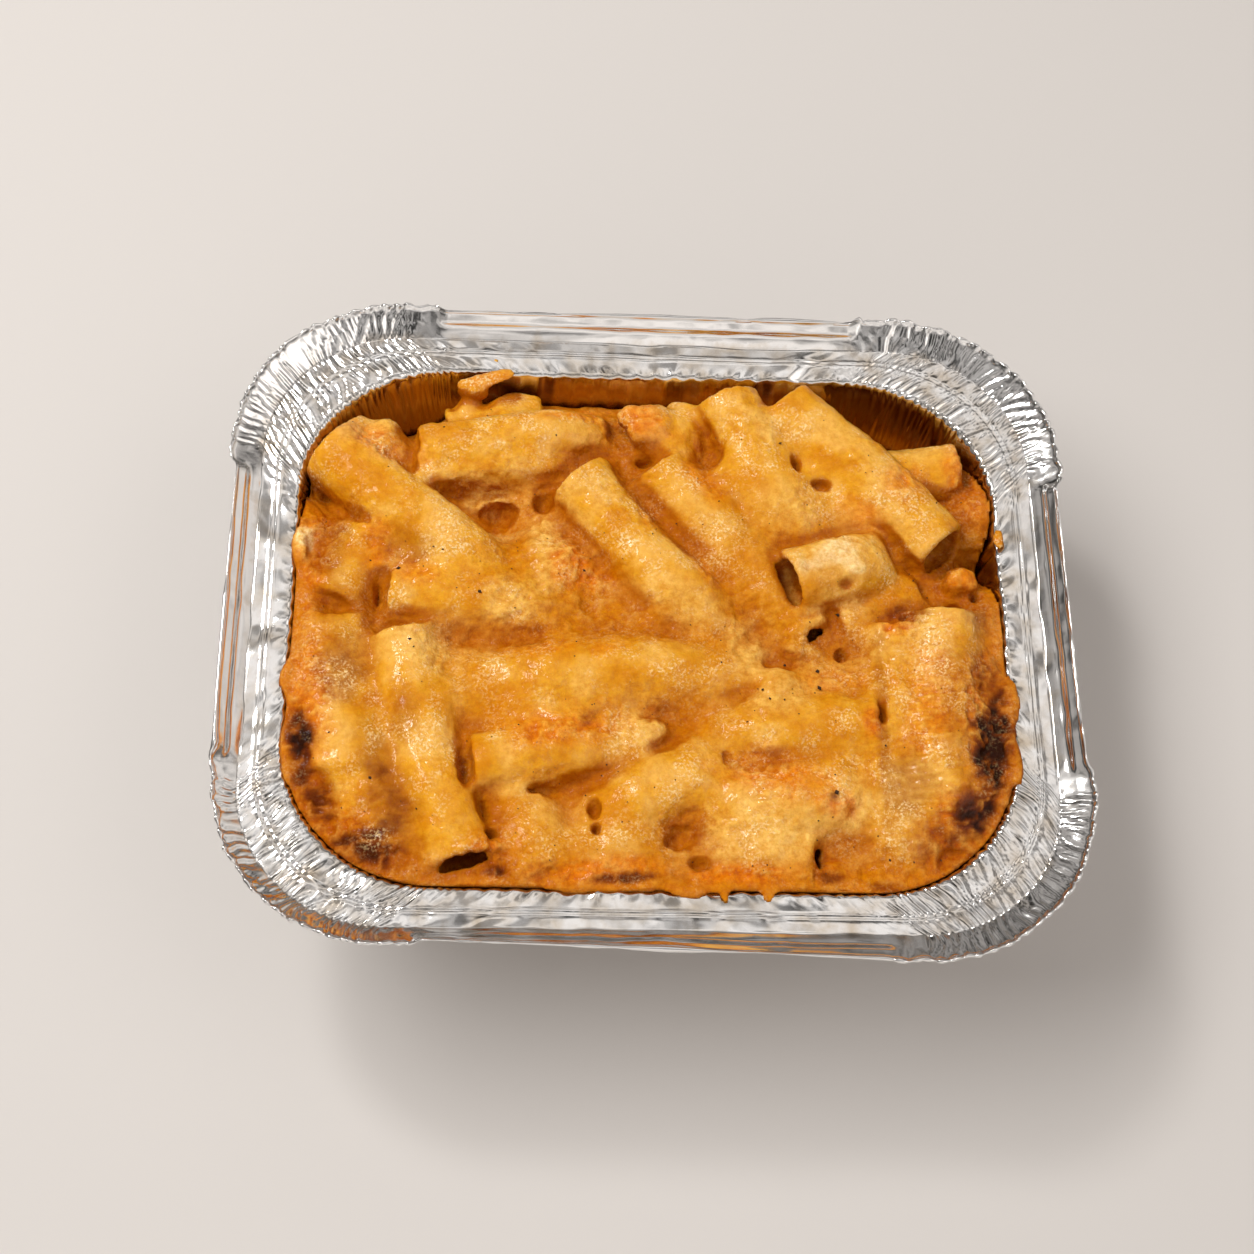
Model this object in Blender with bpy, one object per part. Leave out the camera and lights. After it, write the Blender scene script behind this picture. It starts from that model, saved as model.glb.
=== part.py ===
"""A baked pasta meal in an oblong foil takeaway tray: a pleated foil tray and the heap of pasta tubes baked in it.

Run with: blender --background --python part.py
Metres, +Z up. The origin is on the surface that the tray stands on, under the middle of the object.
"""

import math
from collections import namedtuple

import bmesh
import bpy
from mathutils import Vector

MM = 0.001

# Foil tray: a 145 x 120 mm rim round a 123 x 99 mm opening.
RIM_X, RIM_Y, RIM_RADIUS = 145 * MM, 120 * MM, 24.2 * MM
OPENING_X, OPENING_Y, OPENING_RADIUS = 123 * MM, 99 * MM, 25.6 * MM
BASE_X, BASE_Y, BASE_RADIUS = 106 * MM, 82 * MM, 19 * MM
LEDGE_HEIGHT = 37.9 * MM
FOIL = 0.3 * MM
BASE_FILLET = 1.8 * MM
BEAD_INSET, BEAD_WIDTH, BEAD_HEIGHT = 7 * MM, 3 * MM, 1.0 * MM
HEM = 0.9 * MM

# The ledge is flat, 62% of the flange. The lip beyond it slopes up, steeply along some sides and flat in others.
LEDGE_SHARE = 0.62
LEDGE_CREASE_SHARE = 0.34
LIP_LENGTH = 5.2 * MM
LIP_RUN, FRONT_LIP_TWIST = 4.0 * MM, 0.8 * MM
BACK_FLARE, FRONT_FLARE, CORNER_RISE = 1.2 * MM, 0.4 * MM, 2.7 * MM

# Pleats, as a zigzag from point to point round the tray.
CORNER_STEPS = 16
LONG_SIDE_STEPS, SHORT_SIDE_STEPS = 16, 12
WALL_PLEAT, SIDE_WALL_PLEAT = 0.45 * MM, 0.25 * MM
LEDGE_PLEAT, LIP_PLEAT = 0.35 * MM, 0.45 * MM

# Pasta tubes, as short cut macaroni of 11 to 12 mm with their coat of cheese sauce.
TUBE_SIDES, TUBE_SEGMENTS = 12, 4
TUBE_FLATTENING = 0.93
TUBE_WALL = 1.5 * MM
BORE_DEPTH, BORE_START = 7 * MM, 0.8 * MM
SINK, SINK_FROM = 3.6 * MM, 0.55

# The sauce between the tubes: nearly level, fuller against the front and side walls, fallen in at the back.
FOOD_GAP = 0.4 * MM
CORE_STEPS, CORE_RINGS = 10, 10
SAUCE_HEIGHT = 35.6 * MM
EDGE_REACH, EDGE_RISE = 11 * MM, 2.3 * MM
BACK_REACH, BACK_FALL = 13 * MM, 5.0 * MM
SHOULDER = 12 * MM
ENVELOPE_TOP = 60 * MM

# A tube is (name, its two ends' x, y and z, its radius, how far its middle bows to its left, which ends sink into the
# sauce, which end shows as open), in mm.
Tube = namedtuple("Tube", "name start end radius bow sunk opened", defaults=(0, (), None))
BOTH = ("start", "end")
TUBES = [
    Tube("left_corner", (-57, 33, 36.6), (-25, 7, 35.6), 6.2, -1.0, ("end",)),
    Tube("left_corner_crust", (-54, 36.5, 34.5), (-39, 29, 33), 5.0, 0, ("end",)),
    Tube("back_left_ridge", (-41, 33, 36.5), (-7, 38.5, 35.8), 4.6, 0.8, ("end",)),
    Tube("back_left_fold", (-41.2, 28.6, 35.8), (-12, 32.8, 35.2), 4.1, 0.6, ("end",)),
    Tube("back_left_low", (-36, 39.5, 31), (-19, 42.5, 32), 5.0),
    Tube("back_left_stub", (-24.5, 41, 28), (-23.5, 44, 35.5), 4.2),
    Tube("under_back_left", (-34, 25, 29), (-18, 25, 29), 5.0),
    Tube("middle_long", (-12.5, 28, 36.3), (14, -3, 35.6), 5.9, -1.2, ("end",)),
    Tube("middle_right", (1, 30, 35.4), (27, -1.5, 34), 5.4, 1.0, (), "end"),
    Tube("knob_tail", (0, 38.5, 35.5), (9, 36, 33.5), 4.8, 0, ("end",)),
    Tube("back_middle_low", (8.5, 44, 33), (4, 34, 33), 5.0),
    Tube("back_right", (14, 45, 37), (24, 18, 35.8), 5.8, 1.5, ("end",)),
    Tube("back_right_long", (24.5, 44, 36.8), (51.5, 15.5, 36.5), 5.8, 1.0, (), "end"),
    Tube("back_right_sheet", (15, 32, 34), (32, 15, 35), 5.8, 0, ("end",)),
    Tube("back_right_web", (23, 38, 34), (42, 17, 34), 5.5, 0, ("end",)),
    Tube("right_corner", (41, 31.5, 32.5), (56.5, 33, 34), 5.3),
    Tube("short_on_top", (24.3, 7, 38.4), (42, 13.5, 36.8), 5.9, 0, ("end",)),
    Tube("left_long", (-42.5, -3.5, 35.3), (-31, -44.5, 35.3), 6.2, -1.2, (), "end"),
    Tube("middle_left", (-45, 4.3, 34.8), (-13, 2, 34.8), 5.5, 0.8, ("end",)),
    Tube("middle_row", (-36, -13.5, 35.8), (19, -9.8, 35.8), 5.3, 1.5, BOTH),
    Tube("front_left_row", (-30, -27.5, 36.3), (-1, -22.5, 35.6), 5.2, 0, ("end",)),
    Tube("front_right_row", (9, -21.8, 35.6), (38, -19.7, 35.6), 5.7, 0.8, ("start",)),
    Tube("front_diagonal", (-11, -39.5, 35.6), (14, -24, 35.4), 5.4, 0.8, BOTH),
    Tube("front_left_low", (-21.5, -32, 33), (-18, -46, 34.5), 5.2),
    Tube("front_right_crust", (10, -36, 35.3), (37, -31, 35.5), 6.2, 0, BOTH),
    Tube("front_edge_right", (10, -43, 34.5), (26, -43, 34), 5.3, 0, ("start",), "end"),
    Tube("front_edge_left", (-17, -44, 34), (4, -43.5, 34), 5.0, 0, BOTH),
    Tube("right_row_inner", (42.5, -0.5, 35.2), (41, -44, 35), 5.5, 0, ("end",)),
    Tube("right_row_middle", (51.5, 2, 36.0), (49, -40, 35.6), 6.2, 0, ("end",)),
    Tube("right_row_outer", (56.5, 2, 34), (56.5, -14, 34), 4.2, 0, ("end",)),
    Tube("right_front_corner", (41, -42, 33.5), (55, -28, 34.5), 5.5),
    Tube("left_back_low", (-55, 3.5, 34), (-49, 16, 34), 6.0),
    Tube("left_row", (-54, -1.5, 34), (-52, -29, 34.5), 5.8),
    Tube("left_front_corner", (-51, -21, 34.5), (-44, -43, 34), 5.8),
    Tube("orange_crust", (-24, 13, 34), (-10, 8, 34.5), 5.0, 0, BOTH),
    Tube("right_low", (33, 1, 33.5), (47, 7, 33), 5.0),
    Tube("right_middle_low", (22, -13, 33.5), (38, -11, 33), 5.0),
    Tube("front_crust", (-29, -19.5, 34.5), (-2, -16.5, 35), 5.0, 0, BOTH),
    Tube("left_crust", (-46, 13, 34.4), (-38, 9, 34.5), 4.5, 0, ("end",)),
]

# A lump is (name, its centre, its radius), in mm.
Lump = namedtuple("Lump", "name centre radius")
LUMPS = [
    Lump("browned_knob", (-1, 39.5, 36.6), 5.4),
    Lump("right_orange_lump", (54, 9.5, 34.2), 5.2),
    Lump("left_cream_lump", (-57, 14.5, 34), 4.0),
    Lump("burnt_edge_lump", (56.5, -22, 34.5), 4.2),
    Lump("back_wall_crust", (31, 45, 33), 3.8),
    Lump("pale_crust", (21.5, -14.5, 35.8), 4.8),
    Lump("corner_crust", (-49, 35, 35.6), 5.0),
    Lump("front_pale_crust", (-1.5, -23, 36.2), 3.8),
]

# Where the heap falls away and the tray's wall shows: (x, y, reach, fall), in mm.
POCKETS = [(-45, 43, 9, 11), (46, 42, 12, 15), (-57, 26, 5, 6), (59, 14, 5, 8), (-27, 22, 5, 5)]
# Where the sauce swells: (x, y, reach, rise), in mm.
SWELLS = [(16, 12, 17, 1.5), (-6, -14, 24, 1.1), (-45, -20, 12, 0.8), (42, -20, 15, 1.0)]

FOIL_COLOUR = (0.80, 0.79, 0.78, 1)
BAKE_COLOUR = (0.83, 0.46, 0.10, 1)

Station = namedtuple("Station", "x y radius z pleat_out pleat_up", defaults=(0, 0))


def clear_scene():
    for item in list(bpy.data.objects):
        bpy.data.objects.remove(item, do_unlink=True)


def material(name, colour, roughness, metallic):
    made = bpy.data.materials.new(name)
    made.use_nodes = True
    shader = made.node_tree.nodes["Principled BSDF"]
    shader.inputs["Base Color"].default_value = colour
    shader.inputs["Roughness"].default_value = roughness
    shader.inputs["Metallic"].default_value = metallic
    return made


def add_object(name, mesh, finish=None):
    made = bpy.data.objects.new(name, mesh)
    bpy.context.scene.collection.objects.link(made)
    if finish:
        mesh.materials.append(finish)
    return made


def mesh_of(name, points, faces):
    mesh = bpy.data.meshes.new(name)
    mesh.from_pydata(points, [], faces)
    mesh.update()
    return mesh


def bounded(value, low, high):
    return min(max(value, low), high)


def around(x, y, radius, corner_steps, long_steps, short_steps):
    """The points of a rounded rectangle, anticlockwise, as (point, outward direction, corner share).

    The corner share runs from 0 at a corner's ends to 1 at its middle, and is negative along the straight sides.
    """
    found = []
    for corner in range(4):
        x_sign = 1 if corner in (0, 3) else -1
        y_sign = 1 if corner in (0, 1) else -1
        centre = Vector((x_sign * (x / 2 - radius), y_sign * (y / 2 - radius), 0))
        for step in range(corner_steps + 1):
            turn = math.radians(90) * (corner + step / corner_steps)
            outward = Vector((math.cos(turn), math.sin(turn), 0))
            found.append((centre + outward * radius, outward, 1 - abs(2 * step / corner_steps - 1)))
        side_steps = short_steps if corner in (1, 3) else long_steps
        side = (x - 2 * radius) if corner in (0, 2) else (y - 2 * radius)
        along = Vector((-outward.y, outward.x, 0))
        last = found[-1][0]
        found += [(last + along * side * step / side_steps, outward, -1) for step in range(1, side_steps)]
    return found


def lip_slope(point, corner):
    """The lip's (run, rise): it was bent up along the front's left half, and down along its right and in the fans."""
    across = bounded(point.x / (RIM_X / 2 - RIM_RADIUS), -1, 1)
    down = bounded(-point.y / (RIM_Y / 2 - RIM_RADIUS), -1, 1)
    front = max(down, 0) ** 4
    run = LIP_RUN + FRONT_LIP_TWIST * front * across
    if corner > 0:
        return run + BACK_FLARE + (FRONT_FLARE - BACK_FLARE) * front, CORNER_RISE
    return run, math.sqrt(LIP_LENGTH**2 - run**2)


def tray_stations():
    """The tray's section from the middle of its base out to the hem, each station a rounded rectangle."""
    bead_x, bead_y = BASE_X - 2 * BEAD_INSET, BASE_Y - 2 * BEAD_INSET
    bead_radius = BASE_RADIUS - BEAD_INSET
    half_bead = BEAD_WIDTH / 2
    stations = [
        Station(bead_x - 2 * half_bead, bead_y - 2 * half_bead, bead_radius - half_bead, 0),
        Station(bead_x, bead_y, bead_radius, BEAD_HEIGHT),
        Station(bead_x + 2 * half_bead, bead_y + 2 * half_bead, bead_radius + half_bead, 0),
        Station(BASE_X - 2 * BASE_FILLET, BASE_Y - 2 * BASE_FILLET, BASE_RADIUS - BASE_FILLET, 0),
        Station(BASE_X, BASE_Y, BASE_RADIUS, BASE_FILLET, 0.3),
    ]
    for share in (0.5, 0.93):
        stations.append(
            Station(
                BASE_X + (OPENING_X - BASE_X) * share,
                BASE_Y + (OPENING_Y - BASE_Y) * share,
                BASE_RADIUS + (OPENING_RADIUS - BASE_RADIUS) * share,
                BASE_FILLET + (LEDGE_HEIGHT - BASE_FILLET) * share,
                1.0,
            )
        )
    for share in (0.0, LEDGE_CREASE_SHARE, LEDGE_SHARE):
        stations.append(
            Station(
                OPENING_X + (RIM_X - OPENING_X) * share,
                OPENING_Y + (RIM_Y - OPENING_Y) * share,
                OPENING_RADIUS + (RIM_RADIUS - OPENING_RADIUS) * share,
                LEDGE_HEIGHT,
                0.4 if share == 0 else 0,
                1.0,
            )
        )
    return stations


def station_loop(station, sink):
    """The points of one station, pleated, and moved by sink: (outward, upward)."""
    steps = (CORNER_STEPS, LONG_SIDE_STEPS, SHORT_SIDE_STEPS)
    loop = []
    for index, (point, outward, corner) in enumerate(around(station.x, station.y, station.radius, *steps)):
        fold = 1 if index % 2 else -1
        wall = WALL_PLEAT if corner >= 0 else SIDE_WALL_PLEAT
        ledge = LEDGE_PLEAT if corner >= 0 else 0
        moved = point + outward * (fold * wall * station.pleat_out + sink[0])
        moved.z = station.z + fold * ledge * station.pleat_up + sink[1]
        loop.append(moved)
    return loop


def lip_loops(ledge_edge):
    """The lip's inner face, its hem and its outer face, from the points of the ledge's outer edge."""
    steps = (CORNER_STEPS, LONG_SIDE_STEPS, SHORT_SIDE_STEPS)
    plan = around(ledge_edge.x, ledge_edge.y, ledge_edge.radius, *steps)
    inner, hem_top, hem_side, outer = [], [], [], []
    for index, (point, outward, corner) in enumerate(plan):
        run, rise = lip_slope(point, corner)
        length = math.hypot(run, rise)
        slope = Vector((outward.x * run, outward.y * run, rise)) / length
        normal = Vector((-outward.x * rise, -outward.y * rise, run)) / length
        fold = (1 if index % 2 else -1) * (LIP_PLEAT if corner >= 0 else 0)
        foot = Vector((point.x, point.y, ledge_edge.z)) + normal * fold
        inner.append(foot + slope * (length - HEM) + normal * FOIL)
        hem_top.append(foot + slope * length + normal * HEM * 0.5)
        hem_side.append(foot + slope * (length + HEM * 0.4) - normal * HEM * 0.1)
        outer.append(foot + slope * length - normal * HEM * 0.5)
    return [inner, hem_top, hem_side, outer]


def loft(name, loops):
    """A closed mesh through loops of equal length, its first and last loops filled."""
    size = len(loops[0])
    points = [point for loop in loops for point in loop]
    faces = [tuple(range(size))]
    for row in range(len(loops) - 1):
        for column in range(size):
            after = (column + 1) % size
            faces.append((row * size + after, row * size + column, (row + 1) * size + column, (row + 1) * size + after))
    faces.append(tuple(reversed([(len(loops) - 1) * size + column for column in range(size)])))
    mesh = mesh_of(name, points, faces)
    facing_out(mesh)
    return mesh


def facing_out(mesh):
    work = bmesh.new()
    work.from_mesh(mesh)
    bmesh.ops.recalc_face_normals(work, faces=work.faces)
    work.to_mesh(mesh)
    work.free()


def build_tray():
    """The foil tray as one thin shell: up its inside from the base, round the hem and down its outside."""
    stations = tray_stations()
    wall_from = 4
    inside = []
    outside = []
    for index, station in enumerate(stations):
        on_wall = wall_from <= index < len(stations) - 3
        inside.append(station_loop(station, (0, 0) if on_wall else (0, FOIL)))
        outside.append(station_loop(station, (FOIL, 0) if on_wall else (0, 0)))
    loops = inside + lip_loops(stations[-1]) + outside[::-1]
    return add_object("foil_tray", loft("foil_tray", loops), material("foil", FOIL_COLOUR, 0.28, 1.0))


def wall_half_sizes(z):
    """The opening's size inside the wall at height z, clear of the pleats and of the foil."""
    share = bounded((z - BASE_FILLET) / (LEDGE_HEIGHT - BASE_FILLET), 0, 1)
    clear = WALL_PLEAT + FOOD_GAP
    return (
        BASE_X + (OPENING_X - BASE_X) * share - 2 * clear,
        BASE_Y + (OPENING_Y - BASE_Y) * share - 2 * clear,
        BASE_RADIUS + (OPENING_RADIUS - BASE_RADIUS) * share - clear,
    )


def rise_towards(distance, reach):
    """0 at least a reach away, rising smoothly to 1 at no distance."""
    share = bounded(1 - distance / reach, 0, 1)
    return share * share * (3 - 2 * share)


def sauce_height(x, y):
    """The height of the sauce between the tubes."""
    across, along, _ = wall_half_sizes(SAUCE_HEIGHT)
    to_side = across / 2 - abs(x)
    near_edge = max(rise_towards(along / 2 + y, EDGE_REACH), rise_towards(to_side, EDGE_REACH))
    near_back = rise_towards(along / 2 - y, BACK_REACH)
    height = SAUCE_HEIGHT + EDGE_RISE * near_edge * (1 - near_back) - BACK_FALL * near_back
    for pocket_x, pocket_y, reach, fall in POCKETS:
        away = math.hypot(x / MM - pocket_x, y / MM - pocket_y) / reach
        height -= fall * MM * math.exp(-away * away)
    for swell_x, swell_y, reach, rise in SWELLS:
        away = math.hypot(x / MM - swell_x, y / MM - swell_y) / reach
        height += rise * MM * math.exp(-away * away)
    return height


def build_core():
    """The sauce and pasta below the tubes that show, filling the tray up to the sauce's level."""
    steps = (CORE_STEPS, CORE_STEPS, CORE_STEPS)
    clear_base = BEAD_HEIGHT + FOIL + FOOD_GAP
    shoulder = SAUCE_HEIGHT - SHOULDER
    loops = []
    for z in (clear_base, clear_base + 2 * MM, shoulder):
        loops.append([Vector((p.x, p.y, z)) for p, _, _ in around(*wall_half_sizes(z), *steps)])
    rim = around(*wall_half_sizes(SAUCE_HEIGHT), *steps)
    for ring in range(CORE_RINGS):
        share = 1 - ring / CORE_RINGS
        loop = []
        for foot, (point, _, _) in zip(loops[2], rim):
            height = sauce_height(point.x * share, point.y * share)
            edge = foot.lerp(point, bounded((height - shoulder) / SHOULDER, 0, 1.2))
            loop.append(Vector((edge.x * share, edge.y * share, height)))
        loops.append(loop)
    return add_object("pasta_bake", loft("pasta_bake", loops), material("baked_pasta", BAKE_COLOUR, 0.45, 0.0))


def sinking(tube, share):
    """How far the tube's middle line drops towards the ends that sink into the sauce."""
    drop = 0
    if "end" in tube.sunk:
        drop += SINK * bounded((share - SINK_FROM) / (1 - SINK_FROM), 0, 1) ** 2
    if "start" in tube.sunk:
        drop += SINK * bounded((1 - share - SINK_FROM) / (1 - SINK_FROM), 0, 1) ** 2
    return drop


def build_tube(tube):
    """One pasta tube along its bowed axis. Its bore is cut later, once it is part of the heap."""
    start, end = Vector(tube.start) * MM, Vector(tube.end) * MM
    left, up = sideways(end - start)
    radius = tube.radius * MM
    loops = []
    for step in range(TUBE_SEGMENTS + 1):
        share = step / TUBE_SEGMENTS
        middle = start.lerp(end, share) + left * tube.bow * MM * 4 * share * (1 - share)
        middle -= up * sinking(tube, share)
        loops.append(ring(middle, left * radius, up * radius * TUBE_FLATTENING))
    return add_object(tube.name, loft(tube.name, loops))


def build_bore(tube):
    """What is cut from the end of a tube that shows as open."""
    start, end = Vector(tube.start) * MM, Vector(tube.end) * MM
    if tube.opened == "start":
        start, end = end, start
    left, up = sideways(end - start)
    inwards = (start - end).normalized()
    size = tube.radius * MM - TUBE_WALL
    middles = (end - inwards * BORE_START, end + inwards * BORE_DEPTH)
    loops = [ring(middle, left * size, up * size * TUBE_FLATTENING) for middle in middles]
    return add_object(tube.name + "_bore", loft(tube.name + "_bore", loops))


def sideways(direction):
    """Two directions across a tube: level and to its left, and upward."""
    left = Vector((0, 0, 1)).cross(direction).normalized()
    return left, direction.normalized().cross(left)


def ring(middle, across, up):
    turns = [2 * math.pi * side / TUBE_SIDES for side in range(TUBE_SIDES)]
    return [middle + across * math.cos(turn) + up * math.sin(turn) for turn in turns]


def build_lump(lump):
    mesh = bpy.data.meshes.new(lump.name)
    work = bmesh.new()
    bmesh.ops.create_icosphere(work, subdivisions=2, radius=lump.radius * MM)
    work.to_mesh(mesh)
    work.free()
    made = add_object(lump.name, mesh)
    made.location = Vector(lump.centre) * MM
    return made


def build_envelope():
    """The space inside the tray, extended upwards, which the heap is trimmed to."""
    steps = (CORE_STEPS, CORE_STEPS, CORE_STEPS)
    heights = (0.5 * MM, BASE_FILLET, LEDGE_HEIGHT, ENVELOPE_TOP)
    loops = [[Vector((p.x, p.y, z)) for p, _, _ in around(*wall_half_sizes(z), *steps)] for z in heights]
    return add_object("envelope", loft("envelope", loops))


def keep_largest(target):
    """Drops loose scraps that trimming left behind."""
    work = bmesh.new()
    work.from_mesh(target.data)
    unseen = set(work.verts)
    groups = []
    while unseen:
        waiting = [unseen.pop()]
        group = set(waiting)
        while waiting:
            for edge in waiting.pop().link_edges:
                for vertex in edge.verts:
                    if vertex in unseen:
                        unseen.remove(vertex)
                        group.add(vertex)
                        waiting.append(vertex)
        groups.append(group)
    largest = max(groups, key=len)
    bmesh.ops.delete(work, geom=[v for v in work.verts if v not in largest], context="VERTS")
    work.to_mesh(target.data)
    work.free()


def combine(target, operation, pieces):
    """One Boolean with all the pieces, which are then removed."""
    collection = bpy.data.collections.new(operation)
    bpy.context.scene.collection.children.link(collection)
    for piece in pieces:
        bpy.context.scene.collection.objects.unlink(piece)
        collection.objects.link(piece)
    modifier = target.modifiers.new(operation, "BOOLEAN")
    modifier.operation = operation
    modifier.solver = "MANIFOLD"
    modifier.operand_type = "COLLECTION"
    modifier.collection = collection
    bpy.context.view_layer.update()
    graph = bpy.context.evaluated_depsgraph_get()
    result = bpy.data.meshes.new_from_object(target.evaluated_get(graph))
    target.modifiers.clear()
    target.data = result
    for piece in pieces:
        bpy.data.objects.remove(piece, do_unlink=True)
    bpy.data.collections.remove(collection)


def build_bake():
    """The heap: the core with the tubes and lumps that show fused on, trimmed to the inside of the tray."""
    heap = build_core()
    combine(heap, "UNION", [build_tube(tube) for tube in TUBES] + [build_lump(lump) for lump in LUMPS])
    combine(heap, "DIFFERENCE", [build_bore(tube) for tube in TUBES if tube.opened])
    combine(heap, "INTERSECT", [build_envelope()])
    keep_largest(heap)
    return heap


def main():
    clear_scene()
    build_tray()
    build_bake()


main()
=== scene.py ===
"""Looks of the foil tray meal: crinkled foil, baked pasta under a browned cheese crust, pepper and drips."""

import math
from collections import namedtuple

import bpy
import numpy as np
from mathutils import Matrix, Vector


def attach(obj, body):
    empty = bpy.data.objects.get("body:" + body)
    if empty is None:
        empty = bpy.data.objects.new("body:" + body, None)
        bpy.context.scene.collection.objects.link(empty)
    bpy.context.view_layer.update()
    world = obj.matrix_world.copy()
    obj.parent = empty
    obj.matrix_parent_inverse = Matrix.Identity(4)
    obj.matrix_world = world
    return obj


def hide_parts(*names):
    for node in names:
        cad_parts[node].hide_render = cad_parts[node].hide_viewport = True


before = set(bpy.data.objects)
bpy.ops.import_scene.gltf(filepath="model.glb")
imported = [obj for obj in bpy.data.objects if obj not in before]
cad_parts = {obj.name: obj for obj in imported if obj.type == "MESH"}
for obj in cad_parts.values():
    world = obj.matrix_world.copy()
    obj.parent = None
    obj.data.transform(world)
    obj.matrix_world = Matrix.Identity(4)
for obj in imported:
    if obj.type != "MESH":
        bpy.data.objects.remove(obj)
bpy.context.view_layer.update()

# Sizes and places are in millimetres until a mesh is made, other than those of the lights and the floor.
MM = 0.001
UP = np.array((0.0, 0.0, 1.0))

# The photo's camera.
CAMERA_TARGET = (-4.3, -3.3, 41.0)
CAMERA_DISTANCE, CAMERA_ELEVATION, CAMERA_AZIMUTH, CAMERA_ROLL = 372.5, 63.0, -7.0, 7.6
CAMERA_LENS, SENSOR_WIDTH = 62.9, 36

# The lights and the floor, in metres and watts.
WINDOW_PLACE, WINDOW_SIZE, WINDOW_POWER = (-0.68, 0.13, 1.08), (1.0, 0.55), 11.2
PANE_PLACE, PANE_SIZE, PANE_POWER = (-0.5, 0.5, 0.98), (0.19, 0.19), 2.9
LIT_PLACE = (0, 0, 0.02)
DAYLIGHT = (1.0, 0.99, 0.97)
FLOOR_HALF = 2.5

# The room's strength and darkest share, and its colour from level to straight above: (height, colour).
ROOM_LIGHT, DARKEST_SIDE = 0.59, 0.05
ROOM_LEVELS = [
    (0.0, (0.30, 0.26, 0.22)),
    (0.3, (0.42, 0.3948, 0.3738)),
    (0.62, (0.62, 0.5828, 0.5518)),
    (0.78, (0.95, 0.893, 0.8455)),
    (1.0, (1.0, 0.96, 0.93)),
]
# Its patches: their scale, their darkest and brightest share, and the values of a noise that give these.
PATCH_SCALE, PATCH_LIGHT, PATCH_NOISE = 4.5, (0.12, 1.2), (0.40, 0.56)

# Brighter and darker sides of the room: (direction, cosine where it ends, how much more light).
ROOM_LOBES = [
    ((0.06, 0.45, 0.89), 0.88, 0.45),
    ((0.64, -0.14, 0.75), 0.85, 1.7),
    ((0.89, 0.45, 0.11), 0.85, 2.2),
    ((0.0, -1.0, 0.1), 0.5, 2.4),
    ((-0.6, -0.2, 0.78), 0.8, -0.3),
    ((-0.05, -0.55, 0.83), 0.82, -0.45),
]

# Tray sizes, as in the solid. Its loops are rounded rectangles: (x size, y size, corner radius).
RIM = RIM_X, RIM_Y, RIM_RADIUS = 145.0, 120.0, 24.2
OPENING = OPENING_X, OPENING_Y, OPENING_RADIUS = 123.0, 99.0, 25.6
BASE = BASE_X, BASE_Y, BASE_RADIUS = 106.0, 82.0, 19.0
LEDGE_HEIGHT = 37.9
BASE_FILLET = 1.8
BEAD_INSET, BEAD_WIDTH, BEAD_HEIGHT = 7.0, 3.0, 1.0
LEDGE_SHARE, LEDGE_CREASE_SHARE = 0.62, 0.36
FLANGE = (RIM_X - OPENING_X) / 2
LEDGE_CREASE, LEDGE_EDGE = FLANGE * LEDGE_CREASE_SHARE, FLANGE * LEDGE_SHARE
LIP_LENGTH, LIP_RUN, FRONT_LIP_TWIST = 5.2, 4.0, 0.8
BACK_FLARE, FRONT_FLARE, CORNER_RISE = 1.2, 0.4, 2.7
SHEET = 0.12
HEM = 0.6

# Foil columns at each corner and along each side, its rows up the base's fillet and the wall, and how far the
# corner fans reach into the sides, at the opening and at the lip.
CORNER_COLUMNS, LONG_COLUMNS, SHORT_COLUMNS = 180, 112, 84
FILLET_ROWS, WALL_ROWS = 4, 13
INNER_FAN_REACH, OUTER_FAN_REACH = 9.0, 5.5

# The spacing of the wall's ribs and of the scallops at the opening, and how far down the wall's foot lies.
RIB_SPACING, SCALLOP_SPACING, WALL_FOOT = 3.7, 3.8, -37

# Heap: the grid that its surface is found on, its tubes' section and hollows, and the sauce's level.
STEP = 0.5
GRID_LOW, GRID_HIGH = (-64.5, -54.0, 20.0), (64.5, 54.0, 46.0)
HEAP_FLOOR = 22.0
FOOD_CLEARANCE = 0.3
FLATTENING, SQUARENESS, END_SOFTNESS = 0.93, 2.3, 0.7
TUBE_WALL, BORE_DEPTH, BORE_BEYOND = 1.5, 4.0, 1.5
SINK, SINK_FROM = 3.6, 0.55
SAUCE_HEIGHT, LOWEST_SAUCE, SAUCE_SLOPE = 35.6, 24.0, 0.85
EDGE_REACH, EDGE_RISE = 11.0, 2.3
BACK_REACH, BACK_FALL = 13.0, 5.0

# The unevenness of all of the heap's surfaces: (how much, the size of its bumps, seed).
SAG_LAYERS = [(0.5, 8.0, 11), (0.28, 3.4, 12)]
# Where the tubes with ribs across them lie: the middle and the half sizes.
RIBBED_MIDDLE, RIBBED_HALF = (47, -17), (5.5, 24)

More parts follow.
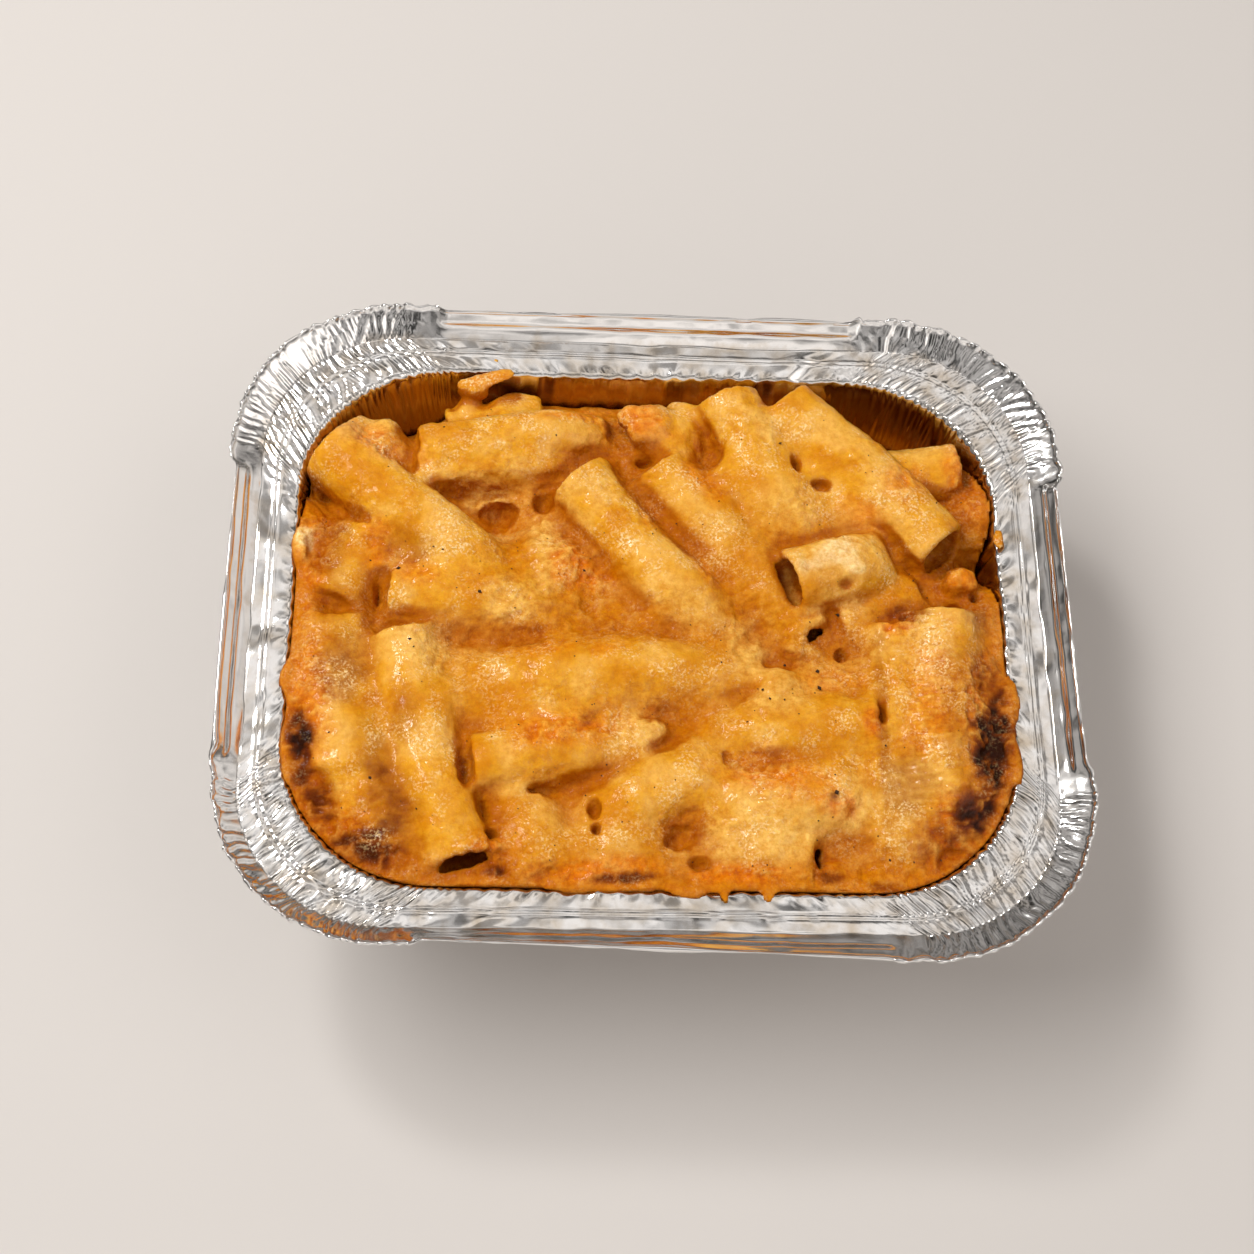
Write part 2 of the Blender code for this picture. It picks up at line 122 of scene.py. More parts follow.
# A tube is (its two ends' x, y and z, its radius, how far its middle bows to its left, the fillet to what it
# lies on, which ends sink into the sauce, which end shows as open).
Tube = namedtuple("Tube", "start end radius bow fillet sunk opened", defaults=(0, 2.2, (), None))
BOTH = ("start", "end")
TUBES = {
    "left_corner": Tube((-57, 33, 36.6), (-25, 7, 35.6), 6.2, -1.0, 2.4, ("end",)),
    "left_corner_crust": Tube((-54, 36.5, 34.5), (-39, 29, 33), 5.0, 0, 2.0, ("end",)),
    "back_left_ridge": Tube((-41, 33, 36.5), (-7, 38.5, 35.8), 4.6, 0.8, 1.4, ("end",)),
    "back_left_fold": Tube((-41.2, 28.6, 35.8), (-12, 32.8, 35.2), 4.1, 0.6, 1.8, ("end",)),
    "back_left_low": Tube((-36, 39.5, 31), (-19, 42.5, 32), 5.0, 0, 1.2),
    "back_left_stub": Tube((-24.5, 41, 28), (-23.5, 44, 35.5), 4.2),
    "under_back_left": Tube((-34, 25, 29), (-18, 25, 29), 5.0, 0, 0.8),
    "middle_long": Tube((-12.5, 28, 36.3), (14, -3, 35.6), 5.9, -1.2, 2.6, ("end",)),
    "middle_right": Tube((1, 30, 35.4), (27, -1.5, 34), 5.4, 1.0, 4.0, (), "end"),
    "knob_tail": Tube((0, 38.5, 35.5), (9, 36, 33.5), 4.8, 0, 2.4, ("end",)),
    "back_middle_low": Tube((8.5, 44, 33), (4, 34, 33), 5.0),
    "back_right": Tube((14, 45, 37), (24, 18, 35.8), 5.8, 1.5, 2.2, ("end",)),
    "back_right_long": Tube((24.5, 44, 36.8), (51.5, 15.5, 36.5), 5.8, 1.0, 2.6, (), "end"),
    "back_right_sheet": Tube((15, 32, 34), (32, 15, 35), 5.8, 0, 4.0, ("end",)),
    "back_right_web": Tube((23, 38, 34), (42, 17, 34), 5.5, 0, 4.0, ("end",)),
    "right_corner": Tube((41, 31.5, 32.5), (56.5, 33, 34), 5.3, 0, 1.2),
    "short_on_top": Tube((24.3, 7, 38.4), (42, 13.5, 36.8), 5.9, 0, 1.8, ("end",), "start"),
    "left_long": Tube((-42.5, -3.5, 35.3), (-31, -44.5, 35.3), 6.2, -1.2, 3.6, (), "end"),
    "middle_left": Tube((-45, 4.3, 34.8), (-13, 2, 34.8), 5.5, 0.8, 3.6, ("end",)),
    "middle_row": Tube((-36, -13.5, 35.8), (19, -9.8, 35.8), 5.3, 1.5, 4.5, BOTH),
    "front_left_row": Tube((-30, -27.5, 36.3), (-1, -22.5, 35.6), 5.2, 0, 2.0, ("end",)),
    "front_right_row": Tube((9, -21.8, 35.6), (38, -19.7, 35.6), 5.7, 0.8, 3.0, ("start",)),
    "front_diagonal": Tube((-11, -39.5, 35.6), (14, -24, 35.4), 5.4, 0.8, 4.0, BOTH),
    "front_left_low": Tube((-21.5, -32, 33), (-18, -46, 34.5), 5.2, 0, 3.0),
    "front_right_crust": Tube((10, -36, 35.3), (37, -31, 35.5), 6.2, 0, 5.0, BOTH),
    "front_edge_right": Tube((10, -43, 34.5), (26, -43, 34), 5.3, 0, 3.0, ("start",), "end"),
    "front_edge_left": Tube((-17, -44, 34), (4, -43.5, 34), 5.0, 0, 4.0, BOTH),
    "right_row_inner": Tube((42.5, -0.5, 35.2), (41, -44, 35), 5.5, 0, 3.4, ("end",)),
    "right_row_middle": Tube((51.5, 2, 36.0), (49, -40, 35.6), 6.2, 0, 3.4, ("end",)),
    "right_row_outer": Tube((56.5, 2, 34), (56.5, -14, 34), 4.2, 0, 2.0, ("end",)),
    "right_front_corner": Tube((41, -42, 33.5), (55, -28, 34.5), 5.5, 0, 4.0),
    "left_back_low": Tube((-55, 3.5, 34), (-49, 16, 34), 6.0, 0, 3.0),
    "left_row": Tube((-54, -1.5, 34), (-52, -29, 34.5), 5.8, 0, 4.0),
    "left_front_corner": Tube((-51, -21, 34.5), (-44, -43, 34), 5.8, 0, 4.0),
    "orange_crust": Tube((-24, 13, 34), (-10, 8, 34.5), 5.0, 0, 3.5, BOTH),
    "right_low": Tube((33, 1, 33.5), (47, 7, 33), 5.0, 0, 2.4),
    "right_middle_low": Tube((22, -13, 33.5), (38, -11, 33), 5.0, 0, 3.0),
    "front_crust": Tube((-29, -19.5, 34.5), (-2, -16.5, 35), 5.0, 0, 4.5, BOTH),
    "left_crust": Tube((-46, 13, 34.4), (-38, 9, 34.5), 4.5, 0, 2.0, ("end",)),
}

# A lump is (its centre, its radius, its fillet), and is made of several smaller ones.
Lump = namedtuple("Lump", "centre radius fillet")
LUMPS = {
    "browned_knob": Lump((-1, 39.5, 36.6), 5.0, 1.4),
    "right_orange_lump": Lump((54, 9.5, 34.2), 5.0, 1.4),
    "left_cream_lump": Lump((-57.5, 14.5, 34.2), 3.8, 1.4),
    "burnt_edge_lump": Lump((56.5, -22, 34.5), 4.0, 2.5),
    "back_wall_crust": Lump((31, 45.5, 33), 3.5, 1.2),
    "crust_web": Lump((24, 34.5, 35.5), 3.2, 2.0),
    "pale_crust": Lump((21.5, -14.5, 36.5), 4.6, 2.5),
    "corner_crust": Lump((-49, 35, 36), 4.6, 2.0),
    "front_pale_crust": Lump((-1.5, -23, 37), 3.6, 2.5),
    "left_crust_ridge": Lump((-47.5, 10, 36.5), 3.0, 1.6),
    "torn_end": Lump((26.5, -3.5, 35.2), 3.6, 1.2),
}

# A blob is (its centre, its half sizes, its turn in degrees). Spills are what ran over the tray's edge.
Blob = namedtuple("Blob", "centre half turn", defaults=(0,))
SPILLS = [
    Blob((-30.2, 47.4, 37.9), (4.4, 1.5, 0.55), 10),
    Blob((-27.0, 48.6, 38.1), (1.7, 0.9, 0.4), 25),
    Blob((-31.8, 46.0, 36.4), (3.0, 1.5, 1.9), -6),
    Blob((-32.4, 44.0, 34.2), (2.6, 2.0, 1.8)),
    Blob((-28.1, 51.8, 38.0), (1.5, 0.8, 0.18)),
    Blob((-61.4, -12.6, 38.0), (1.3, 3.0, 0.8)),
    Blob((-61.0, 12.5, 37.9), (1.2, 3.2, 1.0), 4),
    Blob((-60.6, -26.0, 37.9), (1.0, 5.0, 0.8), 3),
    Blob((61.9, -13.5, 38.0), (1.2, 4.6, 0.5), -2),
    Blob((61.0, -25.0, 38.0), (1.3, 4.6, 0.9), 6),
    Blob((11.6, -50.2, 38.0), (0.8, 1.5, 0.3), 8),
    Blob((18.7, -50.2, 38.0), (1.4, 1.4, 0.3), -12),
    Blob((5.5, -49.8, 38.0), (2.6, 0.8, 0.4)),
    Blob((-9.0, -49.5, 37.9), (6.5, 0.7, 0.5)),
    Blob((61.9, 17.5, 38.1), (0.7, 1.5, 0.25)),
]

# Where the sauce falls away and where it swells: (x, y, reach, rise).
POCKETS = [(-45, 43, 9, -11), (46, 42, 12, -15), (-57, 26, 5, -6), (59, 14, 5, -8), (-27, 22, 5, -5)]
SWELLS = [(16, 12, 17, 1.5), (-6, -14, 24, 1.1), (-45, -20, 12, 0.8), (42, -20, 15, 1.0)]

# Holes and hollows. They start at the heap's surface, so their centres are x and y only.
PITS = [
    Blob((-27, 22.5), (3.3, 2.2, 2.6)),
    Blob((-18.7, 24), (1.7, 2, 2.8)),
    Blob((-1, 32.3), (1.4, 0.9, 2.1), -20),
    Blob((26, 30.8), (1.1, 2.0, 2.2), 10),
    Blob((30.7, 26.8), (1.9, 1.3, 2.2), -10),
    Blob((46.3, 11.5), (1.4, 0.8, 2.1), -40),
    Blob((48, 8), (0.7, 0.8, 1.8)),
    Blob((57, 6.3), (0.7, 0.9, 1.8)),
    Blob((52.5, 4.5), (2, 1.2, 2.1), -20),
    Blob((33.5, 5.8), (1.2, 0.6, 1.4), 15),
    Blob((-47, 4.5), (0.6, 2.2, 1.4)),
    Blob((-31.3, -28.5), (0.8, 2.8, 2.4), 5),
    Blob((-17.2, -32), (2.2, 0.6, 1.5), 3),
    Blob((-9.6, -35.5), (1, 1.5, 1.8)),
    Blob((-9.3, -39.2), (0.5, 0.7, 1.4)),
    Blob((-28, -36), (0.9, 2.2, 2.1), 15),
    Blob((-26.5, -40.2), (0.7, 0.6, 1.8)),
    Blob((12.5, -25.7), (0.6, 1.3, 1.4), 25),
    Blob((33, -5.5), (0.7, 1.2, 1.8), -15),
    Blob((38.8, -18), (0.6, 2, 1.8)),
    Blob((4.5, -40), (2.2, 1.6, 1.3), 20),
    Blob((7.7, -44.5), (1.5, 1, 1.5)),
]

# Browning, and one strip of painted shade among the burnt patches: (x, y, reach along, reach across, turn in
# degrees, strength).
ORANGE_PATCHES = [
    (-48, 33, 8, 3.5, -25, 0.9), (-1.5, 39, 5, 5.5, 0, 1.0), (-13, 9.5, 6, 4, -35, 1.0),
    (-47, 12, 3, 5, 10, 0.7), (-42, 8, 5, 2.5, -20, 0.6), (54, 10, 5, 4, 0, 1.0),
    (56.5, 32, 3.5, 7, 0, 1.0), (0, 20, 2.5, 4, -20, 0.7), (9, 27, 6, 3, -55, 0.7),
    (10, 8, 4, 2, -50, 0.5), (38, 20, 5, 3, -40, 0.6), (37.5, -20, 2, 3, 0, 1.0),
    (42.5, -1, 4, 2.5, 0, 1.0), (-16, -22, 11, 4, 8, 0.9), (-18, -6.5, 8, 2, 8, 0.5),
    (-8, -7, 4, 2, 20, 0.5), (22, -29.5, 10, 4.5, -12, 1.0), (30, -34, 4, 3, 0, 0.9),
    (-9, -46.5, 11, 2.2, 5, 0.9), (14, -46.5, 10, 2, 0, 0.9), (28, -44, 2, 3, 0, 0.9),
    (-58, 8, 3, 12, 0, 0.7), (-57, -18, 4, 16, 0, 0.8), (-50, -42, 10, 6, -40, 0.9),
    (56, -20, 4.5, 15, 0, 0.9), (50, -38, 9, 6, 45, 0.9), (47, -14, 6, 14, 0, 0.6),
    (-31, -28, 1.5, 4, 0, 0.8), (31, -11, 6, 3, 0, 0.4), (-26, -44, 4, 4, 0, 0.9),
    (14, 46, 4, 2, 0, 0.5), (-29.5, 48, 5, 3, 0, 0.4), (-13, 40.5, 8, 1.5, 10, 0.6),
    (46, 27, 5, 5, 0, 0.7), (57, 26, 4, 6, 0, 0.7),
]
BURNT_AND_SHADE_PATCHES = [
    (-43.5, -34, 4, 13, 15, 0.5), (-42, -20, 3, 6, 0, 0.25), (-53, -12, 5, 8, 0, 0.38),
    (-55, 1, 4, 5, 0, 0.17), (-56, 12, 4, 6, 0, 0.38), (-43, 12, 5, 4, 0, 0.25),
    (57, 3, 4, 5, 0, 0.3), (58, 28, 4, 5, 0, 0.2), (42, -31, 5, 7, 0, 0.28),
    # The narrow strip at (38.8, -22) is painted shade along the valley beside the inner right tube.
    (43.5, 1.8, 4, 2.5, 0, 0.5), (38.8, -22, 1.3, 18, 0, 0.35), (57.5, -23, 4.0, 11, -8, 1.0),
    (53, -36, 3.5, 7.5, -40, 0.85), (47.5, -40, 7, 5, 30, 0.4), (52, -18, 4, 12, 0, 0.3),
    (57, -11, 3, 5, 0, 0.5), (-58.5, -26, 2.8, 9, 5, 0.9), (-46.5, -43, 7, 4, -30, 0.8),
    (-55, -35, 3, 5, 30, 0.7), (29.5, -33.5, 1.2, 1.0, 0, 0.7), (-5, -47.5, 7, 1.0, 3, 0.6),
    (-26, -46.5, 2, 1.5, 0, 0.7), (29, -46.5, 3, 1.2, 0, 0.5), (-10.5, -19.5, 1.5, 2.5, -40, 0.4),
    (37.5, -48, 3, 1.2, 0, 0.4),
]
PALE_PATCHES = [
    (-54, 35, 5, 4, 0, 0.6), (-29, 25, 5, 3, 0, 0.8), (6, 3, 7, 4, -45, 0.7),
    (32, 3, 6, 3.5, 20, 0.9), (19, -8, 6, 4, 0, 0.9), (32, 11, 9, 6, 18, 1.5),
    (18, -38.5, 10, 5.5, 10, 0.9), (-38, -6, 5, 5, 0, 0.8), (-18, 16.5, 4, 4, 0, 0.9),
    (-27, 17, 4, 2.5, 0, 0.7), (-24, 2, 4, 5, 40, 0.8), (22, -15, 6, 3, 20, 0.9),
    (16, -4, 5, 3, -40, 0.6), (-2, -22, 4, 4, 0, 0.8), (24, 22, 6, 6, 0, 0.6),
    (21, 37, 2, 4, 0, 0.8), (-60, 14, 2.5, 4, 0, 1.6), (48, -6, 3, 10, 0, 0.5),
    (-54, -16, 3, 6, 0, 0.5), (33, -34, 3, 5, 0, 0.7), (-18, -32, 12, 1.5, 5, 0.6),
]

# Colours of the pasta, its crust and the floor as light reflected from them, in sRGB.
GOLDEN = (226, 156, 26)
DEEP_GOLD = (206, 124, 0)
# Also laid over hollows and sunken grain, partly as painted shade.
VALLEY_GOLD = (184, 98, 0)
PALE_CHEESE = (240, 184, 84)
CREAM = (252, 212, 138)
ORANGE_CRUST = (224, 119, 2)
BROWN_CRUST = (144, 63, 0)
BURNT_CRUST = (46, 17, 3)
# Painted shade in pits, bores and deep hollows.
CAVITY_SHADE = (196, 116, 12)
# Pale specks painted into the crust where it would glint: painted highlights.
PAINTED_GLINT = (250, 213, 150)
FLOOR = (208, 203, 199)

# As linear light: the tints of the crust's grain and the pepper, (noise, colour), and the foil's two colours.
GRAIN_TINTS = [(0.36, (0.78, 0.61, 0.3)), (0.62, (1.08, 1.18, 1.5))]
PEPPER_TONES = [(0, (0.012, 0.006, 0.003)), (1, (0.07, 0.03, 0.012))]
# Bare foil, and its brown inside: partly a baked-on juice stain, partly a painted reflection of the food.
BARE_FOIL, STAIN_AND_REFLECTION_FOIL = (0.92, 0.91, 0.90, 1), (0.46, 0.31, 0.12, 1)

# The heights, in metres, where the foil's brown inside starts and where it is full, how much a noise lifts
# them, and the middle values of a noise. The brown is partly a stain of baked-on juices, partly a painted
# reflection of the food.
STAIN_AND_REFLECTION_LEVELS, STAIN_AND_REFLECTION_UNEVENNESS = (0.0415, 0.0375), 0.006
NOISE_MIDDLE = (0.3, 0.7)

# Pepper flecks that stand out, as (x, y, size), then how many small ones there are, how large and where.
LARGE_FLECKS = [
    (28.5, -13, 1.3), (23, -8, 0.8), (28.5, -9.4, 0.9), (18.7, -13.8, 0.7), (19.8, -15.8, 0.6),
    (22.3, -16, 0.6), (-41, -6.4, 0.7), (-40.3, -7.8, 0.5), (-46.5, -31.5, 0.8), (-53.5, -23.8, 0.7),
    (-29.5, 3.4, 1.0), (-43.5, 8, 0.9), (-16.7, 35.4, 0.5), (32.5, 1.5, 1.0), (-36, 11, 0.5),
    (-18, 15.5, 0.5), (-8.5, 24.5, 0.5), (-11.5, 9, 0.7), (23.2, 34, 0.7), (30.2, -33, 1.0),
    (39, -24, 0.5), (39, -43.5, 0.7), (42.8, -44, 0.6),
]
SMALL_FLECKS, SMALL_FLECK_SIZES = 190, (0.18, 0.45)
PEPPER_X, PEPPER_Y, LOWEST_PEPPER, PEPPER_CLEARANCE = (-58, 58), (-47, 44), 33, 2.5


def linear(colour):
    """An sRGB colour, 0 to 255, as linear light."""
    share = np.asarray(colour, float) / 255
    return np.where(share <= 0.04045, share / 12.92, ((share + 0.055) / 1.055) ** 2.4)


def cell_corners(part):
    """The eight corners of a cell, each with its weight at a place in the cell."""
    for corner in np.ndindex(2, 2, 2):
        yield np.array(corner), np.prod(np.where(np.array(corner) == 1, part, 1 - part), axis=-1)


def lattice_noise(points, cell, seed):
    """Smooth noise from -1 to 1 at each point, its bumps about one cell across."""
    table = np.random.default_rng(seed).uniform(-1, 1, 4096).astype(np.float32)
    place = np.asarray(points, np.float64) / cell + 1000
    low = np.floor(place).astype(np.int64)
    part = place - low
    part = part * part * (3 - 2 * part)
    total = np.zeros(place.shape[:-1])
    for corner, weight in cell_corners(part):
        at = low + corner
        key = (at[..., 0] * 73856093) ^ (at[..., 1] * 19349663) ^ (at[..., 2] * 83492791)
        total += table[(key ^ (key >> 12)) & 4095] * weight
    return total


def layered_noise(points, cell, seed, layers=3):
    """Smooth noise with finer layers on it, from -1 to 1."""
    total = 0
    for layer in range(layers):
        total = total + lattice_noise(points, cell / 2**layer, seed + layer) / 2**layer
    return total / (2 - 0.5 ** (layers - 1))


def smooth_share(value):
    """A value kept from 0 to 1 and eased towards both."""
    share = np.clip(value, 0, 1)
    return share * share * (3 - 2 * share)


def between(first, second, share):
    """The loop that lies a share of the way from one loop to another."""
    return [low + (high - low) * share for low, high in zip(first, second)]


def turned(x, y, turn, half):
    """How far places lie along and across a turned shape, in its half sizes."""
    turn = math.radians(turn)
    along = (x * math.cos(turn) + y * math.sin(turn)) / half[0]
    across = (y * math.cos(turn) - x * math.sin(turn)) / half[1]
    return along, across


def new_object(name, data):
    """An object in the scene."""
    made = bpy.data.objects.new(name, data)
    bpy.context.scene.collection.objects.link(made)
    return made


def mesh_object(name, points, faces, finish):
    """A smooth-shaded mesh from points in millimetres."""
    mesh = bpy.data.meshes.new(name)
    points = np.asarray(points, np.float32) * MM
    faces = np.asarray(faces, np.int32)
    count, corners = faces.shape
    mesh.vertices.add(len(points))
    mesh.vertices.foreach_set("co", points.ravel())
    mesh.loops.add(count * corners)
    mesh.loops.foreach_set("vertex_index", faces.ravel())
    mesh.polygons.add(count)
    mesh.polygons.foreach_set("loop_start", np.arange(0, count * corners, corners, dtype=np.int32))
    mesh.polygons.foreach_set("use_smooth", np.ones(count, bool))
    mesh.update(calc_edges=True)
    mesh.validate()
    mesh.materials.append(finish)
    made = new_object(name, mesh)
    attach(made, "root")
    return made


def paint(piece, name, values):
    """Up to three values at each vertex: a colour as linear light, or shares."""
    attribute = piece.data.color_attributes.new(name, "FLOAT_COLOR", "POINT")
    full = np.zeros((len(values), 4), np.float32)
    full[:, : values.shape[1]] = values
    full[:, 3] = 1
    attribute.data.foreach_set("color", full.ravel())


# Heap of pasta

AXES = [np.arange(low, high + STEP / 2, STEP) for low, high in zip(GRID_LOW, GRID_HIGH)]


def window(low, high):
    """The part of the grid that covers a box, as slices and as x, y and z arrays."""
    slices = []
    for axis in range(3):
        first = max(0, int((low[axis] - GRID_LOW[axis]) / STEP))
        last = int((high[axis] - GRID_LOW[axis]) / STEP) + 2
        slices.append(slice(first, last))
    places = np.meshgrid(*(AXES[axis][slices[axis]] for axis in range(3)), indexing="ij")
    return tuple(slices), places


def merge(first, second, fillet):
    """The union of two distance fields, filleted where they meet."""
    share = np.clip(0.5 + 0.5 * (second - first) / fillet, 0, 1)
    return second + (first - second) * share - fillet * share * (1 - share)


def carve(field, cutter, fillet):
    """A distance field with a cutter taken out of it, filleted where they meet."""
    return -merge(-field, cutter, fillet)


def wall_distance(x, y, z, clearance):
    """Distance beyond the inside of the tray's wall, negative inside it."""
    share = np.clip((z - BASE_FILLET) / (LEDGE_HEIGHT - BASE_FILLET), 0, 1)
    size_x, size_y, radius = between(BASE, OPENING, share)
    across = np.abs(x) - size_x / 2 + radius
    along = np.abs(y) - size_y / 2 + radius
    corner = np.hypot(np.maximum(across, 0), np.maximum(along, 0))
    return corner + np.minimum(np.maximum(across, along), 0) - radius + clearance


def sauce_height(x, y):
    """The height of the sauce between the tubes."""
    level = (SAUCE_HEIGHT - BASE_FILLET) / (LEDGE_HEIGHT - BASE_FILLET)
    half_x, half_y, _ = (size / 2 for size in between(BASE, OPENING, level))
    front = smooth_share(1 - (half_y + y) / EDGE_REACH)
    sides = smooth_share(1 - (half_x - np.abs(x)) / EDGE_REACH)
    back = smooth_share(1 - (half_y - y) / BACK_REACH)
    height = SAUCE_HEIGHT + EDGE_RISE * np.maximum(front, sides) * (1 - back) - BACK_FALL * back
    for place_x, place_y, reach, rise in POCKETS + SWELLS:
        height = height + rise * np.exp(-((x - place_x) ** 2 + (y - place_y) ** 2) / reach**2)
    return np.maximum(height, LOWEST_SAUCE)


def tube_frame(tube):
    """A tube's two ends, its length and its directions forward, left and up."""
    start, end = np.array(tube.start, float), np.array(tube.end, float)
    length = np.linalg.norm(end - start)
    forward = (end - start) / length
    left = np.cross(UP, forward)
    left /= np.linalg.norm(left)
    return start, end, length, forward, left, np.cross(forward, left)


def sinking(tube, share):
    """How far the tube's middle line drops towards the ends that sink into the sauce."""
    drop = 0
    for end, way in (("end", share), ("start", 1 - share)):
        if end in tube.sunk:
            drop = drop + SINK * np.clip((way - SINK_FROM) / (1 - SINK_FROM), 0, 1) ** 2
    return drop


def tube_distance(tube, places, radius, unevenness=0):
    """Distance from a round bowed tube with softened ends."""
    start, _, length, forward, left, up = tube_frame(tube)
    offsets = [place - origin for place, origin in zip(places, start)]
    along = sum(offset * part for offset, part in zip(offsets, forward))
    share = np.clip(along / length, 0, 1)
    across = sum(offset * part for offset, part in zip(offsets, left)) - tube.bow * 4 * share * (1 - share)
    rise = (sum(offset * part for offset, part in zip(offsets, up)) + sinking(tube, share)) / FLATTENING
    round_side = (np.abs(across) ** SQUARENESS + np.abs(rise) ** SQUARENESS) ** (1 / SQUARENESS)
    beyond_side = round_side - radius + END_SOFTNESS + unevenness
    beyond_end = np.abs(along - length / 2) - length / 2 + END_SOFTNESS
    outside = np.hypot(np.maximum(beyond_side, 0), np.maximum(beyond_end, 0))
    return outside + np.minimum(np.maximum(beyond_side, beyond_end), 0) - END_SOFTNESS


def cluster(lump, seed):
    """The smaller lumps that make a lump, as centres and radii."""
    random = np.random.default_rng(seed)
    centres = np.array(lump.centre) + random.uniform(-0.55, 0.55, (6, 3)) * lump.radius * (1, 1, 0.6)
    return centres, random.uniform(0.4, 0.62, 6) * lump.radius


def around_tube(tube, margin):
    """The part of the grid around a tube."""
    ends = np.array((tube.start, tube.end), float)
    reach = tube.radius + abs(tube.bow) + margin
    return window(ends.min(axis=0) - reach, ends.max(axis=0) + reach)


def bore_of(tube):
    """The hollow that shows at a tube's open end, as a thinner tube."""
    start, end, _, forward, _, _ = tube_frame(tube)
    if tube.opened == "start":
        start, end, forward = end, start, -forward
    inner, outer = end - forward * BORE_DEPTH, end + forward * BORE_BEYOND
    return Tube(tuple(inner), tuple(outer), tube.radius - TUBE_WALL)


def around_blob(blob):
    """The part of the grid around a blob."""
    return window(np.subtract(blob.centre, blob.half) - 2, np.add(blob.centre, blob.half) + 2)


def blob_distance(blob, places):
    """About the distance from a blob."""
    x, y, z = (place - middle for place, middle in zip(places, blob.centre))
    along, across = turned(x, y, blob.turn, blob.half)
    return (np.sqrt(along**2 + across**2 + (z / blob.half[2]) ** 2) - 1) * min(blob.half)


def top_height(field, x, y):
    """The heap's highest point on the grid at one place."""
    column = field[round((x - GRID_LOW[0]) / STEP), round((y - GRID_LOW[1]) / STEP)]
    return AXES[2][np.nonzero(column < 0)[0][-1]]


def heap_field():
    """The heap's distance field on the grid: sauce, tubes and lumps joined, then hollows cut, then the tray's
    wall, and last what ran over the edge."""
    x, y, z = np.meshgrid(*AXES, indexing="ij", sparse=True)
    full = np.stack(np.broadcast_arrays(x, y, z), axis=-1)
    sag = sum(amount * lattice_noise(full, cell, seed) for amount, cell, seed in SAG_LAYERS)
    field = (z - sauce_height(x, y)) * SAUCE_SLOPE + sag
    for tube in TUBES.values():
        slices, places = around_tube(tube, tube.fillet + 2)
        shape = tube_distance(tube, places, tube.radius, 0.8 * sag[slices])
        field[slices] = merge(field[slices], shape, tube.fillet)
    for seed, lump in enumerate(LUMPS.values()):
        for centre, radius in zip(*cluster(lump, 21 + seed)):
            slices, places = window(centre - radius - 4, centre + radius + 4)
            away = np.sqrt(sum((place - middle) ** 2 for place, middle in zip(places, centre)))
            field[slices] = merge(field[slices], away - radius + 1.2 * sag[slices], lump.fillet)
    for tube in TUBES.values():
        if tube.opened:
            bore = bore_of(tube)
            slices, places = around_tube(bore, 2)
            field[slices] = carve(field[slices], tube_distance(bore, places, bore.radius), 0.5)
    for pit in PITS:
        hole = pit._replace(centre=(*pit.centre, top_height(field, *pit.centre)))
        slices, places = around_blob(hole)
        field[slices] = carve(field[slices], blob_distance(hole, places) + 0.9 * sag[slices], 0.8)
    field = np.maximum(field, wall_distance(x, y, z, FOOD_CLEARANCE))
    for spill in SPILLS:
        slices, places = around_blob(spill)
        field[slices] = merge(field[slices], blob_distance(spill, places) + 0.5 * sag[slices], 0.9)
    return np.maximum(field, HEAP_FLOOR - z)


def surface_of(field):
    """The closed quad mesh where the field is 0: its points, one in each crossed cell, and its faces."""
    inside = field < 0
    size = np.array(field.shape) - 1
    counts = sum(
        inside[a : a + size[0], b : b + size[1], c : c + size[2]].astype(np.int8)
        for a, b, c in np.ndindex(2, 2, 2)
    )
    crossed = (counts > 0) & (counts < 8)
    number = np.full(crossed.shape, -1)
    number[crossed] = np.arange(crossed.sum())
    cells = np.argwhere(crossed)
    total = np.zeros((len(cells), 3))
    hits = np.zeros(len(cells))
    for axis in range(3):
        unit = np.eye(3, dtype=int)[axis]
        others = [other for other in range(3) if other != axis]
        for first, second in np.ndindex(2, 2):
            offset = np.zeros(3, int)
            offset[others] = first, second
            near = cells + offset
            far = near + unit
            near_value = field[tuple(near.T)]
            far_value = field[tuple(far.T)]
            change = (near_value < 0) != (far_value < 0)
            part = near_value[change] / (near_value[change] - far_value[change])
            total[change] += near[change] + part[:, None] * unit
            hits[change] += 1
    points = np.array(GRID_LOW) + STEP * total / hits[:, None]
    faces = []
    for axis in range(3):
        u, v = (axis + 1) % 3, (axis + 2) % 3
        low = np.take(inside, range(size[axis]), axis=axis)
        high = np.take(inside, range(1, size[axis] + 1), axis=axis)
        edges = np.argwhere(low != high)
        edges = edges[np.all((edges[:, (u, v)] > 0) & (edges[:, (u, v)] < size[[u, v]]), axis=1)]
        to_u, to_v = np.eye(3, dtype=int)[u], np.eye(3, dtype=int)[v]
        corners = [edges - to_u - to_v, edges - to_v, edges, edges - to_u]
        quads = np.stack([number[tuple(corner.T)] for corner in corners], axis=1)
        outward = inside[tuple(edges.T)]
        quads[~outward] = quads[~outward][:, ::-1]
        faces.append(quads)
    return points, np.concatenate(faces)


def sample(field, points):
    """The field's value at points off the grid."""
    place = (points - np.array(GRID_LOW)) / STEP
    place = np.clip(place, 0, np.array(field.shape) - 1.001)
    low = np.floor(place).astype(int)
    part = place - low
    total = np.zeros(len(points))
    for corner, weight in cell_corners(part):
        total += field[tuple((low + corner).T)] * weight
    return total


